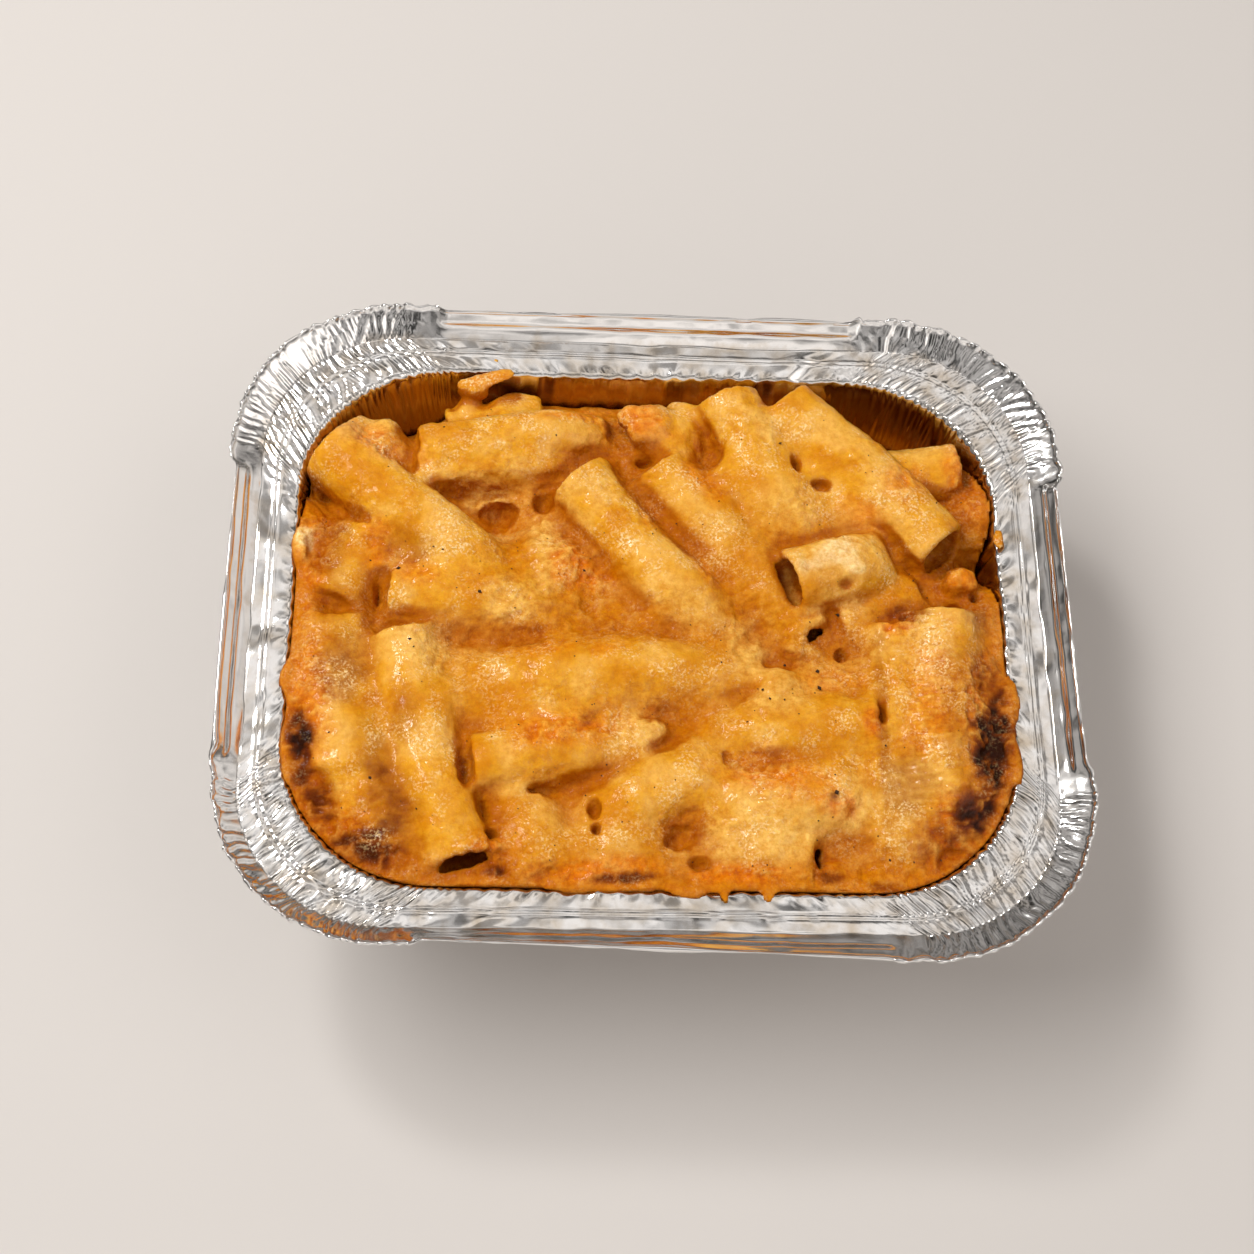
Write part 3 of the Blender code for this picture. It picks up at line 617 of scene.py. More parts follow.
def normals_of(points, faces):
    """Outward direction at each point of a quad mesh."""
    corners = points[faces]
    flat = np.cross(corners[:, 2] - corners[:, 0], corners[:, 3] - corners[:, 1])
    total = np.zeros_like(points)
    for corner in range(4):
        np.add.at(total, faces[:, corner], flat)
    return total / np.maximum(np.linalg.norm(total, axis=1, keepdims=True), 1e-9)


def patched(patches, points, seed):
    """How strongly patches with uneven edges cover each point, from 0 to 1."""
    cover = np.zeros(len(points))
    wander = 0.55 * layered_noise(points, 4.0, seed)
    for x, y, along, across, turn, strength in patches:
        away = np.hypot(*turned(points[:, 0] - x, points[:, 1] - y, turn, (along, across))) + wander
        cover = np.maximum(cover, strength * smooth_share(1.35 - away))
    return cover


def heap_colours(points, tone, grain, cover):
    """Golden ridges over deep gold valleys, with uneven grains of pale, orange, brown and burnt crust, and
    partly painted light and shade.
    """
    fibres = 0.5 + 0.5 * layered_noise(points * (1, 1.3, 1), 2.6, 35)
    edge = smooth_share(1.1 + wall_distance(*points.T, FOOD_CLEARANCE) / 5 + 0.8 * tone)
    high, low = np.clip(grain, 0, 1), np.clip(-grain, 0, 1)
    ridge, crust, burnt, pale, hollow = cover
    pale_tone, deep_tone = smooth_share(2.6 * tone + 0.1), smooth_share(0.1 - 2.6 * tone)
    charred = burnt * (0.75 + 0.9 * fibres - 0.5 * high)
    colours = np.tile(linear(VALLEY_GOLD), (len(points), 1))
    for colour, share in (
        # Lighter on the ridges above the sauce and on raised grain, more orange on sunken grain: partly the
        # cheese's own colour, partly painted light and shade.
        (GOLDEN, 0.2 + 0.8 * ridge),
        (DEEP_GOLD, 0.75 * deep_tone * (0.6 + 0.6 * fibres)),
        (PALE_CHEESE, pale * (0.4 + 0.5 * fibres) + 0.35 * high + 0.55 * pale_tone * (0.25 + 0.75 * ridge)),
        (ORANGE_CRUST, crust * (0.7 + 0.5 * low - 0.45 * high) + 0.35 * edge * fibres),
        (PALE_CHEESE, 0.3 * crust * high),
        (CREAM, smooth_share(2 * pale - 2)),
        # Darker in hollows between and under the tubes, in pits and bores, and in sunken grain: partly sauce
        # pooled there, partly painted shade.
        (VALLEY_GOLD, 0.35 * low + 0.9 * smooth_share(hollow * 2.4 - 0.3)),
        (CAVITY_SHADE, smooth_share(hollow * 2.0 - 0.75)),
        (BROWN_CRUST, 0.75 * fibres * smooth_share(hollow * 2.2 - 0.35)),
        (BROWN_CRUST, 1.3 * charred),
        (BURNT_CRUST, 1.7 * charred - 0.8),
    ):
        share = np.clip(share, 0, 1)[:, None]
        colours = colours * (1 - share) + linear(colour) * share
    return colours


def crust_grain(points, rough):
    """The crust's wrinkles and blisters, from about -1 to 1, stronger where it is rough."""
    warped = points + 1.2 * np.stack([lattice_noise(points, 4.0, seed) for seed in (55, 56, 57)], axis=1)
    wrinkle = 1.1 - 3.2 * np.abs(lattice_noise(warped * (1, 1.5, 1), 1.9, 51))
    blister = 1.6 * lattice_noise(warped, 1.0, 52)
    ribs = np.sin(points[:, 1] * 2 * math.pi / 1.55 + 2.5 * lattice_noise(points, 5.0, 58))
    ribbed = smooth_share((RIBBED_HALF[0] - np.abs(points[:, 0] - RIBBED_MIDDLE[0])) / 3)
    ribbed = ribbed * smooth_share((RIBBED_HALF[1] - np.abs(points[:, 1] - RIBBED_MIDDLE[1])) / 6)
    return np.clip(rough * (0.5 * wrinkle + 0.5 * blister) + 0.3 * ribbed * ribs, -1.2, 1.2)


def build_heap(finish):
    """The pasta and its crust as one closed skin with real hollows, roughened where it browned. Returns its
    points."""
    field = heap_field()
    points, faces = surface_of(field)
    normals = normals_of(points, faces)
    # How enclosed each point is; it darkens the colour in hollows as painted shade and dulls the coat there.
    near, far = (np.clip(1 - sample(field, points + reach * normals) / reach, 0, 1) for reach in (2.0, 6.0))
    hollow = np.clip(0.8 * near + 0.5 * far - 0.05, 0, 1)
    crust = patched(ORANGE_PATCHES, points, 41)
    burnt = patched(BURNT_AND_SHADE_PATCHES, points, 42)
    pale = patched(PALE_PATCHES, points, 43)
    covered = 0.5 + 0.5 * layered_noise(points, 9.0, 59)
    ridge = smooth_share((points[:, 2] - sauce_height(points[:, 0], points[:, 1]) - 0.2) / 4.5)
    rough = np.clip(0.9 * covered**2 + 0.35 * (1 - ridge) + 0.6 * crust + 0.35 * pale + 0.5 * burnt, 0, 1.1)
    tone = layered_noise(points, 6.0, 31)
    wet = np.clip(((0.1 + 0.9 * ridge) * (1 - 1.2 * hollow) + 0.2 * crust) * (1 - 0.7 * burnt), 0, 1)
    wet *= (0.35 + 0.65 * smooth_share(0.6 + 1.6 * tone)) * (1 - 0.4 * crust)
    grain = crust_grain(points, rough)
    above = smooth_share((points[:, 2] - HEAP_FLOOR - 2) / 4)
    kept_in = smooth_share(-wall_distance(*points.T, FOOD_CLEARANCE) / 1.2 + 0.2)
    relief = 0.42 * grain + 0.12 * lattice_noise(points, 2.2, 53)
    relief = relief + 0.4 * rough * layered_noise(points, 5.0, 54)
    points = points + normals * (relief * above * kept_in)[:, None]
    heap = mesh_object("pasta_heap", points, faces, finish)
    paint(heap, "coat", heap_colours(points, tone, grain, (ridge, crust, burnt, pale, hollow)))
    paint(heap, "finish", np.stack([np.clip(rough, 0, 1), wet], axis=1))
    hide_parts("pasta_bake")
    return points


# Foil tray

def column_plan():
    """For each foil column, the corners that it lies between, its share of the way and its outward angle."""
    signs = [(1, 1), (-1, 1), (-1, -1), (1, -1)]
    from_corner, to_corner, shares, angles = [], [], [], []
    for corner in range(4):
        here, after = signs[corner], signs[(corner + 1) % 4]
        for step in range(CORNER_COLUMNS):
            from_corner.append(here)
            to_corner.append(here)
            shares.append(0.0)
            angles.append(math.radians(90) * (corner + step / CORNER_COLUMNS))
        side_columns = SHORT_COLUMNS if corner in (1, 3) else LONG_COLUMNS
        for step in range(side_columns):
            from_corner.append(here)
            to_corner.append(after)
            shares.append(step / side_columns)
            angles.append(math.radians(90) * (corner + 1))
    return np.array(from_corner, float), np.array(to_corner, float), np.array(shares), np.array(angles)


FROM_CORNER, TO_CORNER, SIDE_SHARE, OUTWARD_ANGLE = column_plan()
OUTWARD = np.stack([np.cos(OUTWARD_ANGLE), np.sin(OUTWARD_ANGLE)], axis=1)


def loop_of(x, y, radius):
    """The points of a rounded rectangle, one for each column."""
    signs = FROM_CORNER + (TO_CORNER - FROM_CORNER) * SIDE_SHARE[:, None]
    return signs * (x / 2 - radius, y / 2 - radius) + OUTWARD * radius


def perimeter_lengths():
    """Each column's length along the ledge, from the first column, and the whole length."""
    ring = loop_of(*between(OPENING, RIM, LEDGE_SHARE / 2))
    steps = np.linalg.norm(np.roll(ring, -1, axis=0) - ring, axis=1)
    lengths = np.concatenate([[0], np.cumsum(steps)])
    return lengths[:-1], lengths[-1]


ALONG_RIM, RIM_LENGTH = perimeter_lengths()


def fan_share(reach, change):
    """1 in the corner fans and 0 along the straight sides, where the fans reach in by so much."""
    ring = loop_of(*OPENING)
    past_x = np.abs(ring[:, 0]) - (OPENING_X / 2 - OPENING_RADIUS)
    past_y = np.abs(ring[:, 1]) - (OPENING_Y / 2 - OPENING_RADIUS)
    on_long = (FROM_CORNER[:, 1] == TO_CORNER[:, 1]) & (SIDE_SHARE > 0)
    on_short = (FROM_CORNER[:, 0] == TO_CORNER[:, 0]) & (SIDE_SHARE > 0)
    share = np.ones(len(ring))
    share[on_long] = smooth_share((past_x[on_long] + reach) / change)
    share[on_short] = smooth_share((past_y[on_short] + reach * 0.7) / change)
    return share


INNER_FAN = fan_share(INNER_FAN_REACH, 6.0)
FAN = fan_share(OUTER_FAN_REACH, 1.5)


def folds(spacing, seed):
    """Rounded ribs of uneven width, height and lean, sharp valleys between, by the length along the rim."""
    random = np.random.default_rng(seed)
    count = int(RIM_LENGTH / spacing)
    widths = random.gamma(4.0, 1.0, count) + 1.5
    ends = np.cumsum(widths) * RIM_LENGTH / widths.sum()
    starts = np.append(0, ends[:-1])
    heights = random.uniform(0.3, 1.0, count)
    leans = random.uniform(0.55, 1.7, count)

    def height(length):
        length = length % RIM_LENGTH
        rib = np.minimum(np.searchsorted(ends, length, side="right"), count - 1)
        share = ((length - starts[rib]) / (ends - starts)[rib]) ** leans[rib]
        return heights[rib] * (4 * share * (1 - share) - 0.6)

    return height


def lip_slope():
    """The lip's run and rise at each column: bent up along the front's left half, down along its right."""
    ring = loop_of(*RIM)
    across = np.clip(ring[:, 0] / (RIM_X / 2 - RIM_RADIUS), -1, 1)
    front = np.clip(-ring[:, 1] / (RIM_Y / 2 - RIM_RADIUS), 0, 1) ** 4
    run = LIP_RUN + FRONT_LIP_TWIST * front * across
    rise = np.sqrt(LIP_LENGTH**2 - run**2)
    flare = BACK_FLARE + (FRONT_FLARE - BACK_FLARE) * front
    return run + flare * FAN, rise + (CORNER_RISE - rise) * FAN


def foil_rows():
    """The foil's section from the bead in its base to the hem, as loops of points and how far each lies past
    the wall's top: 0 at the opening, negative down the wall and positive out over the ledge and lip."""
    rows = []

    def add(x, y, radius, z, distance):
        loop = loop_of(x, y, radius)
        rows.append((np.column_stack([loop, np.full(len(loop), float(z))]), distance))

    def add_inset(inset, z, distance):
        add(BASE_X - inset, BASE_Y - inset, BASE_RADIUS - inset / 2, z, distance)

    def add_beyond(out, radius, z):
        add(OPENING_X + 2 * out, OPENING_Y + 2 * out, radius, z, out)

    for across, height in ((-1.0, 0.0), (-0.5, 0.55), (0.0, 1.0), (0.5, 0.55), (1.0, 0.0)):
        add_inset(2 * BEAD_INSET - across * BEAD_WIDTH, height * BEAD_HEIGHT, WALL_FOOT - 3)
    add_inset(8, 0, WALL_FOOT - 1)
    for step in range(FILLET_ROWS):
        turn = math.radians(90) * step / FILLET_ROWS
        inset = 2 * BASE_FILLET * (1 - math.sin(turn))
        add_inset(inset, BASE_FILLET * (1 - math.cos(turn)), WALL_FOOT + step / FILLET_ROWS)
    wall_rise = LEDGE_HEIGHT - BASE_FILLET
    for step in range(WALL_ROWS):
        share = step / WALL_ROWS
        add(*between(BASE, OPENING, share), BASE_FILLET + wall_rise * share, -wall_rise * (1 - share))
    for out, drop in ((-0.35, 1.1), (-0.08, 0.35), (0.35, 0.03)):
        add_beyond(out, OPENING_RADIUS, LEDGE_HEIGHT - drop)
    ledge = [*np.linspace(0.8, LEDGE_CREASE - 0.55, 6)]
    ledge += [LEDGE_CREASE - 0.25, LEDGE_CREASE, LEDGE_CREASE + 0.25]
    ledge += [*np.linspace(LEDGE_CREASE + 0.6, LEDGE_EDGE - 0.5, 4), LEDGE_EDGE - 0.2]
    for out in ledge:
        _, _, radius = between(OPENING, RIM, out / FLANGE)
        sunk = 0.14 * pressed(abs(out - LEDGE_CREASE), 0.27, 0.12) - 0.16 * pressed(out, LEDGE_CREASE, 0.12)
        add_beyond(out, radius, LEDGE_HEIGHT + sunk)
    run, rise = lip_slope()
    length = np.hypot(run, rise)
    foot_loop = loop_of(OPENING_X + 2 * LEDGE_EDGE, OPENING_Y + 2 * LEDGE_EDGE, RIM_RADIUS + 0.5)
    foot = np.column_stack([foot_loop, np.full(len(run), LEDGE_HEIGHT)])
    slope = np.column_stack([OUTWARD * (run / length)[:, None], rise / length])
    inward = np.column_stack([-OUTWARD * (rise / length)[:, None], run / length])
    place = np.column_stack([ALONG_RIM, 0 * FAN, 0 * FAN])
    ragged = FAN * (0.3 * lattice_noise(place, 1.7, 76) + 0.2 * lattice_noise(place, 0.8, 77))
    for share in (0.0, 0.05, 0.18, 0.34, 0.5, 0.52, 0.68, 0.84):
        fold = -0.18 if share == 0.5 else 0
        point = foot + slope * ((length + ragged) * share)[:, None] + inward * (fold * (1 - FAN))[:, None]
        rows.append((point, LEDGE_EDGE + LIP_LENGTH * share))
    hem = ((-0.45, 0.1), (-0.1, 0.42), (0.35, 0.38), (0.5, 0.0), (0.3, -0.36), (-0.2, -0.42), (-0.9, -0.3))
    for forth, over in hem:
        point = foot + slope * (length + ragged + forth * HEM)[:, None] + inward * over * HEM
        rows.append((point, LEDGE_EDGE + LIP_LENGTH))
    return rows


def pressed(distance, line, width):
    """1 at a pressed line across the folds, and 0 away from it."""
    return math.exp(-(((distance - line) / width) ** 2))


def rim_relief(points, distance, folded):
    """How far the foil stands off its plain section at one row."""
    place = np.column_stack([ALONG_RIM, np.full(len(FAN), distance), 0 * FAN])
    drift = 1.3 * lattice_noise(place * (0.12, 0.35, 0), 1.0, 61)
    drift = drift + 0.5 * lattice_noise(place * (0.3, 0.6, 0), 1.0, 67)
    along = ALONG_RIM + 0.35 * max(distance, 0) + drift
    crinkle = 0.07 * layered_noise(points, 6.0, 62, 2) + 0.05 * np.abs(lattice_noise(points, 3.0, 66))
    wall, inner, middle, outer, facets = folded
    if distance < WALL_FOOT:
        return 0.15 * crinkle
    if distance < 0:
        depth = smooth_share((distance - WALL_FOOT) / 8)
        ribs = 0.35 * np.abs(np.sin(math.pi * ALONG_RIM / RIB_SPACING)) - 0.25
        return (INNER_FAN * (0.5 * wall(along) - 0.08) + (1 - INNER_FAN) * ribs) * depth + 0.6 * crinkle
    share = smooth_share((distance - 2) / (LEDGE_EDGE - 2))
    fan = INNER_FAN + (FAN - INNER_FAN) * share
    scallops = -0.35 * np.abs(np.cos(math.pi * ALONG_RIM / SCALLOP_SPACING)) * pressed(distance, 0, 1.6)
    dents = 0.34 * lattice_noise(place * (0.8, 1, 1), 4.2, 63) + 0.06 * lattice_noise(place, 1.9, 68)
    if distance < LEDGE_CREASE:
        turn = smooth_share(distance / LEDGE_CREASE)
        fold = (1 - turn) * inner(along) + turn * middle(along)
        amount = 0.46 - 0.22 * pressed(distance, LEDGE_CREASE, 0.5)
        return fan * amount * fold + (1 - fan) * (scallops + dents) + crinkle
    if distance < LEDGE_EDGE:
        turn = smooth_share((distance - LEDGE_CREASE) / (LEDGE_EDGE - LEDGE_CREASE))
        fold = (1 - turn) * middle(along) + turn * outer(along)
        amount = 0.42 - 0.2 * pressed(distance, LEDGE_CREASE, 0.5) - 0.15 * pressed(distance, LEDGE_EDGE, 0.4)
        return fan * amount * fold + (1 - fan) * dents + crinkle
    spread = min((distance - LEDGE_EDGE) / LIP_LENGTH, 1)
    waves = 0.3 * lattice_noise(place, 11.0, 64) + 0.26 * lattice_noise(place, 3.5, 65)
    fold = 0.42 * outer(along) * (1 - 0.4 * spread) + 0.45 * spread * facets(along)
    return fan * fold + (1 - fan) * waves * (0.35 + 0.65 * spread) + 0.7 * crinkle


def build_foil(inner_finish, outer_finish):
    """The whole tray as one thin crinkled sheet, pleated in its corners."""
    folded = (folds(1.5, 71), folds(1.5, 72), folds(1.3, 73), folds(1.4, 74), folds(2.0, 75))
    rows = foil_rows()
    grid = np.array([points for points, _ in rows])
    across = np.gradient(grid, axis=0)
    along = np.roll(grid, -1, axis=1) - np.roll(grid, 1, axis=1)
    normals = np.cross(across, along)
    normals /= np.maximum(np.linalg.norm(normals, axis=2, keepdims=True), 1e-9)
    for row, (points, distance) in enumerate(rows):
        grid[row] = points + normals[row] * rim_relief(points, distance, folded)[:, None]
    row_count, column_count = grid.shape[:2]
    number = np.arange(row_count * column_count).reshape(row_count, column_count)
    after = np.roll(number, -1, axis=1)
    faces = np.stack([number[:-1], number[1:], after[1:], after[:-1]], axis=-1).reshape(-1, 4)
    centre = len(grid.reshape(-1, 3))
    points = np.vstack([grid.reshape(-1, 3), [(0, 0, 0)]])
    closing = np.column_stack([number[0], after[0], np.full(column_count, centre)])
    tray = sheet_object("foil_sheet", points, faces, closing, (inner_finish, outer_finish))
    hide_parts("foil_tray")


def sheet_object(name, points, quads, triangles, finishes):
    """A thin sheet with its two faces, each in its own finish, and its edge."""
    mesh = bpy.data.meshes.new(name)
    faces = [tuple(face) for face in quads.tolist()] + [tuple(face) for face in triangles.tolist()]
    mesh.from_pydata((points * MM).tolist(), [], faces)
    mesh.update()
    mesh.polygons.foreach_set("use_smooth", np.ones(len(faces), bool))
    for finish in finishes:
        mesh.materials.append(finish)
    made = new_object(name, mesh)
    thickness = made.modifiers.new("thickness", "SOLIDIFY")
    thickness.thickness = SHEET * MM
    thickness.offset = -1
    thickness.material_offset = 1
    thickness.material_offset_rim = 1
    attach(made, "root")
    return made


# Pepper

def flake(random, size):
    """A small irregular chip: an octahedron with its corners moved."""
    corners = np.array([(1, 0, 0), (0, 1, 0), (-1, 0, 0), (0, -1, 0), (0, 0, 1), (0, 0, -1)], float)
    corners *= random.uniform(0.6, 1.2, (6, 3)) * (0.5, 0.38, 0.28) * size
    turn = random.uniform(0, 2 * math.pi)
    spin = np.array([(math.cos(turn), -math.sin(turn), 0), (math.sin(turn), math.cos(turn), 0), (0, 0, 1)])
    sides = [(0, 1, 4), (1, 2, 4), (2, 3, 4), (3, 0, 4), (1, 0, 5), (2, 1, 5), (3, 2, 5), (0, 3, 5)]
    return corners @ spin.T, np.array(sides)


def height_map(points):
    """The heap's highest point in each square millimetre."""
    heights = {}
    for x, y, z in points:
        key = (round(x), round(y))
        heights[key] = max(heights.get(key, 0), z)
    return heights


def build_pepper(heap_points, finish):
    """Ground pepper on the crust, as one piece."""
    random = np.random.default_rng(81)
    heights = height_map(heap_points)
    flecks = list(LARGE_FLECKS)
    while len(flecks) < len(LARGE_FLECKS) + SMALL_FLECKS:
        x, y = random.uniform(*PEPPER_X), random.uniform(*PEPPER_Y)
        height = heights.get((round(x), round(y)), 0)
        if wall_distance(x, y, LEDGE_HEIGHT, PEPPER_CLEARANCE) < 0 and height > LOWEST_PEPPER:
            flecks.append((x, y, random.uniform(*SMALL_FLECK_SIZES)))
    points, faces, start = [], [], 0
    for x, y, size in flecks:
        corners, sides = flake(random, size)
        height = heights.get((round(x), round(y)), SAUCE_HEIGHT)
        points.append(corners + (x, y, height + 0.02 * size))
        faces.append(sides + start)
        start += len(corners)
    pepper = mesh_object("pepper_flecks", np.vstack(points), np.vstack(faces), finish)


# Materials

def plug(tree, node, inputs):
    """Sets each input of a node to a constant, or links it to another node's output."""
    for name, value in inputs.items():
        if isinstance(value, bpy.types.NodeSocket):
            tree.links.new(value, node.inputs[name])
        else:
            node.inputs[name].default_value = value


def add_node(tree, kind, inputs=None, **settings):
    """A shader node with its settings and its inputs."""
    node = tree.nodes.new("ShaderNode" + kind)
    for name, value in settings.items():
        setattr(node, name, value)
    plug(tree, node, inputs or {})
    return node


def add_noise(tree, scale, detail, roughness=0.5, kind="TexNoise", space="Object"):
    """A pattern on the object's own coordinates, its scale in bumps a metre."""
    place = add_node(tree, "TexCoord").outputs[space]
    inputs = {"Vector": place, "Scale": scale, "Detail": detail, "Roughness": roughness}
    return add_node(tree, kind, inputs).outputs[0]


def add_range(tree, value, low, high, span=(0.0, 1.0)):
    """A value spread from low to high over its own span, and kept between them."""
    inputs = {"Value": value, "From Min": span[0], "From Max": span[1], "To Min": low, "To Max": high}
    return add_node(tree, "MapRange", inputs).outputs["Result"]


def add_product(tree, first, second):
    """Two values multiplied and kept from 0 to 1."""
    inputs = {0: first, 1: second}
    return add_node(tree, "Math", inputs, operation="MULTIPLY", use_clamp=True).outputs["Value"]


def add_mix(tree, kind, share, first, second):
    """Two colours mixed by a share."""
    inputs = {"Factor": share, "A": first, "B": second}
    return add_node(tree, "Mix", inputs, data_type="RGBA", blend_type=kind).outputs["Result"]


def add_ramp(tree, value, stops):
    """The colour at a value, between stops of (position, colour)."""
    ramp = add_node(tree, "ValToRGB", {"Fac": value})
    elements = ramp.color_ramp.elements
    elements[0].position, elements[1].position = stops[0][0], stops[-1][0]
    for position, _ in stops[1:-1]:
        elements.new(position)
    for element, (_, colour) in zip(elements, stops):
        element.color = (*colour, 1)
    return ramp.outputs["Color"]


def add_bump(tree, height, distance, strength, under=None):
    """A bump from a height in millimetres, over another bump where one is given."""
    inputs = {"Height": height, "Distance": distance * MM, "Strength": strength}
    if under:
        inputs["Normal"] = under
    return add_node(tree, "Bump", inputs).outputs["Normal"]


def new_material(name):
    """A material with its node tree and its main shader."""
    made = bpy.data.materials.new(name)
    made.use_nodes = True
    return made, made.node_tree, made.node_tree.nodes["Principled BSDF"]


def baked_pasta():
    """Browned cheese over pasta: glossy on its ridges with painted pale glints, grained and dull where it
    crusted.
    """
    made, tree, shader = new_material("baked_pasta_crust")
    coat = add_node(tree, "Attribute", attribute_name="coat").outputs["Color"]
    finish = add_node(tree, "Attribute", attribute_name="finish").outputs["Color"]
    shares = add_node(tree, "SeparateColor", {"Color": finish}).outputs
    rough, wet = shares["Red"], shares["Green"]
    tint = add_ramp(tree, add_noise(tree, 900, 4, 0.7), GRAIN_TINTS)
    shade = add_mix(tree, "MULTIPLY", add_range(tree, rough, 0.3, 1.0), coat, tint)
    bubbles = add_noise(tree, 2100, 2, 0.6)
    # Patches and specks of pale painted into the colour on the glossy parts: painted glints.
    glint_spread = add_range(tree, add_noise(tree, 160, 3, 0.6), -0.9, 1.2, NOISE_MIDDLE)
    glint_patches = add_product(tree, glint_spread, add_range(tree, wet, 0.1, 1))
    painted_glint_share = add_product(tree, add_range(tree, bubbles, -1.3, 1.6, NOISE_MIDDLE), glint_patches)
    blisters = add_noise(tree, 500, 3, 0.6)
    under = add_bump(tree, blisters, 0.6, add_range(tree, rough, 0.45, 0.9))
    plug(tree, shader, {
        "Base Color": add_mix(tree, "MIX", painted_glint_share, shade, (*linear(PAINTED_GLINT), 1)),
        "Roughness": add_range(tree, rough, 0.35, 0.55),
        "Specular IOR Level": 0.08,
        "Coat Weight": add_range(tree, wet, 0.05, 0.8),
        "Coat Roughness": 0.12,
        "Subsurface Weight": 0.12,
        "Subsurface Radius": (1.0, 0.45, 0.15),
        "Subsurface Scale": 2.5 * MM,
        "Normal": add_bump(tree, bubbles, 0.3, add_range(tree, glint_patches, 0.25, 1.0), under),
        "Coat Normal": add_bump(tree, blisters, 0.6, 0.4),
    })
    return made


def foil(name, stain_and_reflection):
    """Bright thin aluminium with fine crinkles, browned inside by baked-on juices and a painted reflection of
    the food.
    """
    made, tree, shader = new_material(name)
    under = add_bump(tree, add_noise(tree, 260, 0, kind="TexVoronoi"), 0.1, 0.3)
    plug(tree, shader, {
        "Base Color": BARE_FOIL,
        "Metallic": 1.0,
        "Roughness": add_range(tree, add_noise(tree, 160, 3), 0.09, 0.2, NOISE_MIDDLE),
        "Normal": add_bump(tree, add_noise(tree, 520, 1), 0.08, 0.2, under),
    })
    if stain_and_reflection:
        # Brown inside the tray: partly a juice stain, partly a painted reflection of the food.
        place = add_node(tree, "TexCoord").outputs["Object"]
        height = add_node(tree, "SeparateXYZ", {"Vector": place}).outputs["Z"]
        inputs = {0: add_noise(tree, 260, 3), 1: STAIN_AND_REFLECTION_UNEVENNESS, 2: height}
        level = add_node(tree, "Math", inputs, operation="MULTIPLY_ADD").outputs["Value"]
        depth = add_range(tree, level, 0.0, 1.0, STAIN_AND_REFLECTION_LEVELS)
        plug(tree, shader, {"Base Color": add_mix(tree, "MIX", depth, BARE_FOIL, STAIN_AND_REFLECTION_FOIL)})
    return made


def pepper():
    """Dark brown ground pepper."""
    made, tree, shader = new_material("ground_pepper")
    tone = add_ramp(tree, add_noise(tree, 700, 1), PEPPER_TONES)
    plug(tree, shader, {"Base Color": tone, "Roughness": 0.6})
    return made


def pale_floor():
    """A plain pale stone surface."""
    made, tree, shader = new_material("pale_floor")
    plug(tree, shader, {"Base Color": (*linear(FLOOR), 1), "Roughness": 0.6})
    return made


# Room

def build_room():
    """The floor that the tray stands on."""
    mesh = bpy.data.meshes.new("floor")
    corners = [(x * FLOOR_HALF, y * FLOOR_HALF, 0) for x, y in ((-1, -1), (1, -1), (1, 1), (-1, 1))]
    mesh.from_pydata(corners, [], [(0, 1, 2, 3)])
    mesh.materials.append(pale_floor())
    floor = new_object("floor", mesh)


def area_light(name, place, size, power):
    """A rectangular light that faces the tray."""
    data = bpy.data.lights.new(name, "AREA")
    data.shape = "RECTANGLE"
    data.size, data.size_y = size
    data.energy = power
    data.color = DAYLIGHT
    light = new_object(name, data)
    light.location = place
    light.rotation_euler = (Vector(LIT_PLACE) - Vector(place)).to_track_quat("-Z", "Y").to_euler()
    return light


def add_lobe(tree, direction, edge, amount):
    """So much more light from around one direction, fading out to nothing at a given cosine from it."""
    place = add_node(tree, "TexCoord").outputs["Generated"]
    inputs = {0: place, 1: Vector(direction).normalized()}
    toward = add_node(tree, "VectorMath", inputs, operation="DOT_PRODUCT").outputs["Value"]
    inputs = {"Value": toward, "From Min": edge, "To Max": amount}
    return add_node(tree, "MapRange", inputs, interpolation_type="SMOOTHSTEP").outputs["Result"]


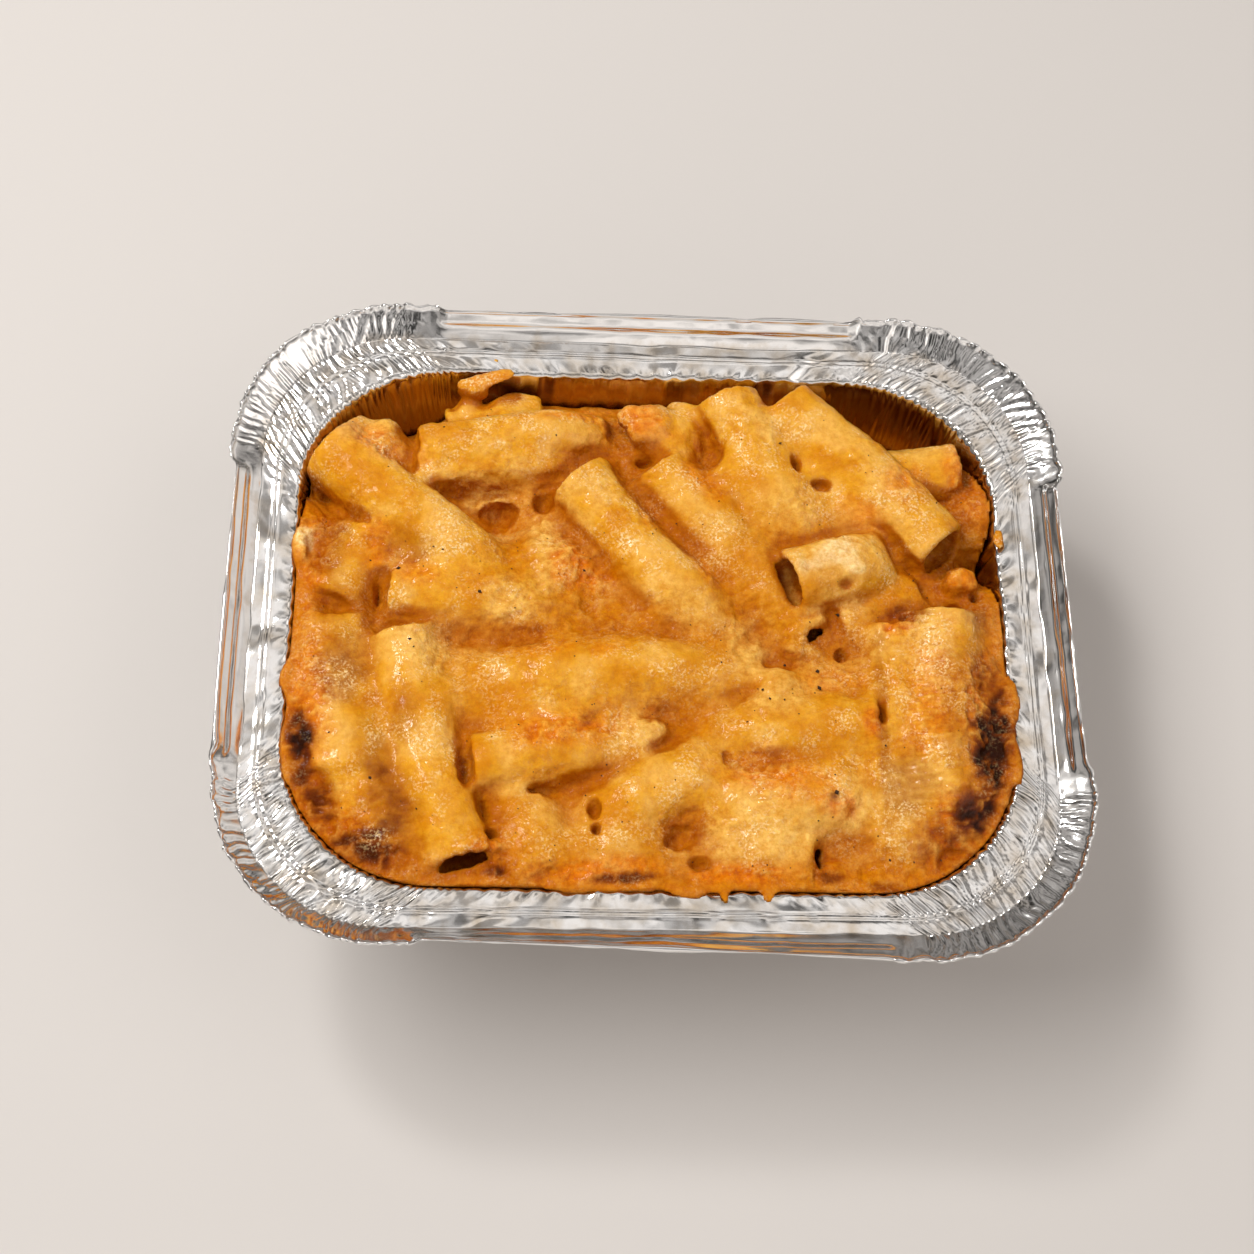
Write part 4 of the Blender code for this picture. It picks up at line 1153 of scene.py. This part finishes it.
def build_light():
    """A soft window and a small bright pane high up on the left, in a warm room of uneven brightness."""
    soft_window = area_light("window", WINDOW_PLACE, WINDOW_SIZE, WINDOW_POWER)
    soft_window.visible_glossy = False
    area_light("pane", PANE_PLACE, PANE_SIZE, PANE_POWER)
    world = bpy.data.worlds.new("room")
    bpy.context.scene.world = world
    world.use_nodes = True
    tree = world.node_tree
    place = add_node(tree, "TexCoord").outputs["Generated"]
    height = add_node(tree, "SeparateXYZ", {"Vector": place}).outputs["Z"]
    total = add_range(tree, add_noise(tree, PATCH_SCALE, 2, space="Generated"), *PATCH_LIGHT, PATCH_NOISE)
    for lobe in ROOM_LOBES:
        total = add_node(tree, "Math", {0: total, 1: add_lobe(tree, *lobe)}).outputs["Value"]
    total = add_node(tree, "Math", {0: total, 1: DARKEST_SIDE}, operation="MAXIMUM").outputs["Value"]
    inputs = {0: add_ramp(tree, height, ROOM_LEVELS), 1: total}
    colour = add_node(tree, "VectorMath", inputs, operation="MULTIPLY").outputs["Vector"]
    plug(tree, tree.nodes["Background"], {"Color": colour, "Strength": ROOM_LIGHT})


def build_camera():
    """The photo's view."""
    elevation, azimuth, roll = (math.radians(a) for a in (CAMERA_ELEVATION, CAMERA_AZIMUTH, CAMERA_ROLL))
    level = math.cos(elevation)
    back = Vector((math.sin(azimuth) * level, -math.cos(azimuth) * level, math.sin(elevation)))
    right = (-back).cross(Vector((0, 0, 1))).normalized()
    up = right.cross(-back)
    rolled_right = right * math.cos(roll) + up * math.sin(roll)
    rolled_up = up * math.cos(roll) - right * math.sin(roll)
    place = (Vector(CAMERA_TARGET) + back * CAMERA_DISTANCE) * MM
    data = bpy.data.cameras.new("camera")
    data.lens = CAMERA_LENS
    data.sensor_width = SENSOR_WIDTH
    data.clip_start = 0.01
    camera = new_object("camera", data)
    facing = Matrix((rolled_right, rolled_up, back)).transposed().to_4x4()
    camera.matrix_world = Matrix.Translation(place) @ facing
    bpy.context.scene.camera = camera


def main():
    bpy.context.scene.view_settings.view_transform = "Standard"
    build_camera()
    build_light()
    build_room()
    build_foil(foil("stain_and_reflection_foil", True), foil("clean_foil", False))
    heap_points = build_heap(baked_pasta())
    build_pepper(heap_points, pepper())


main()
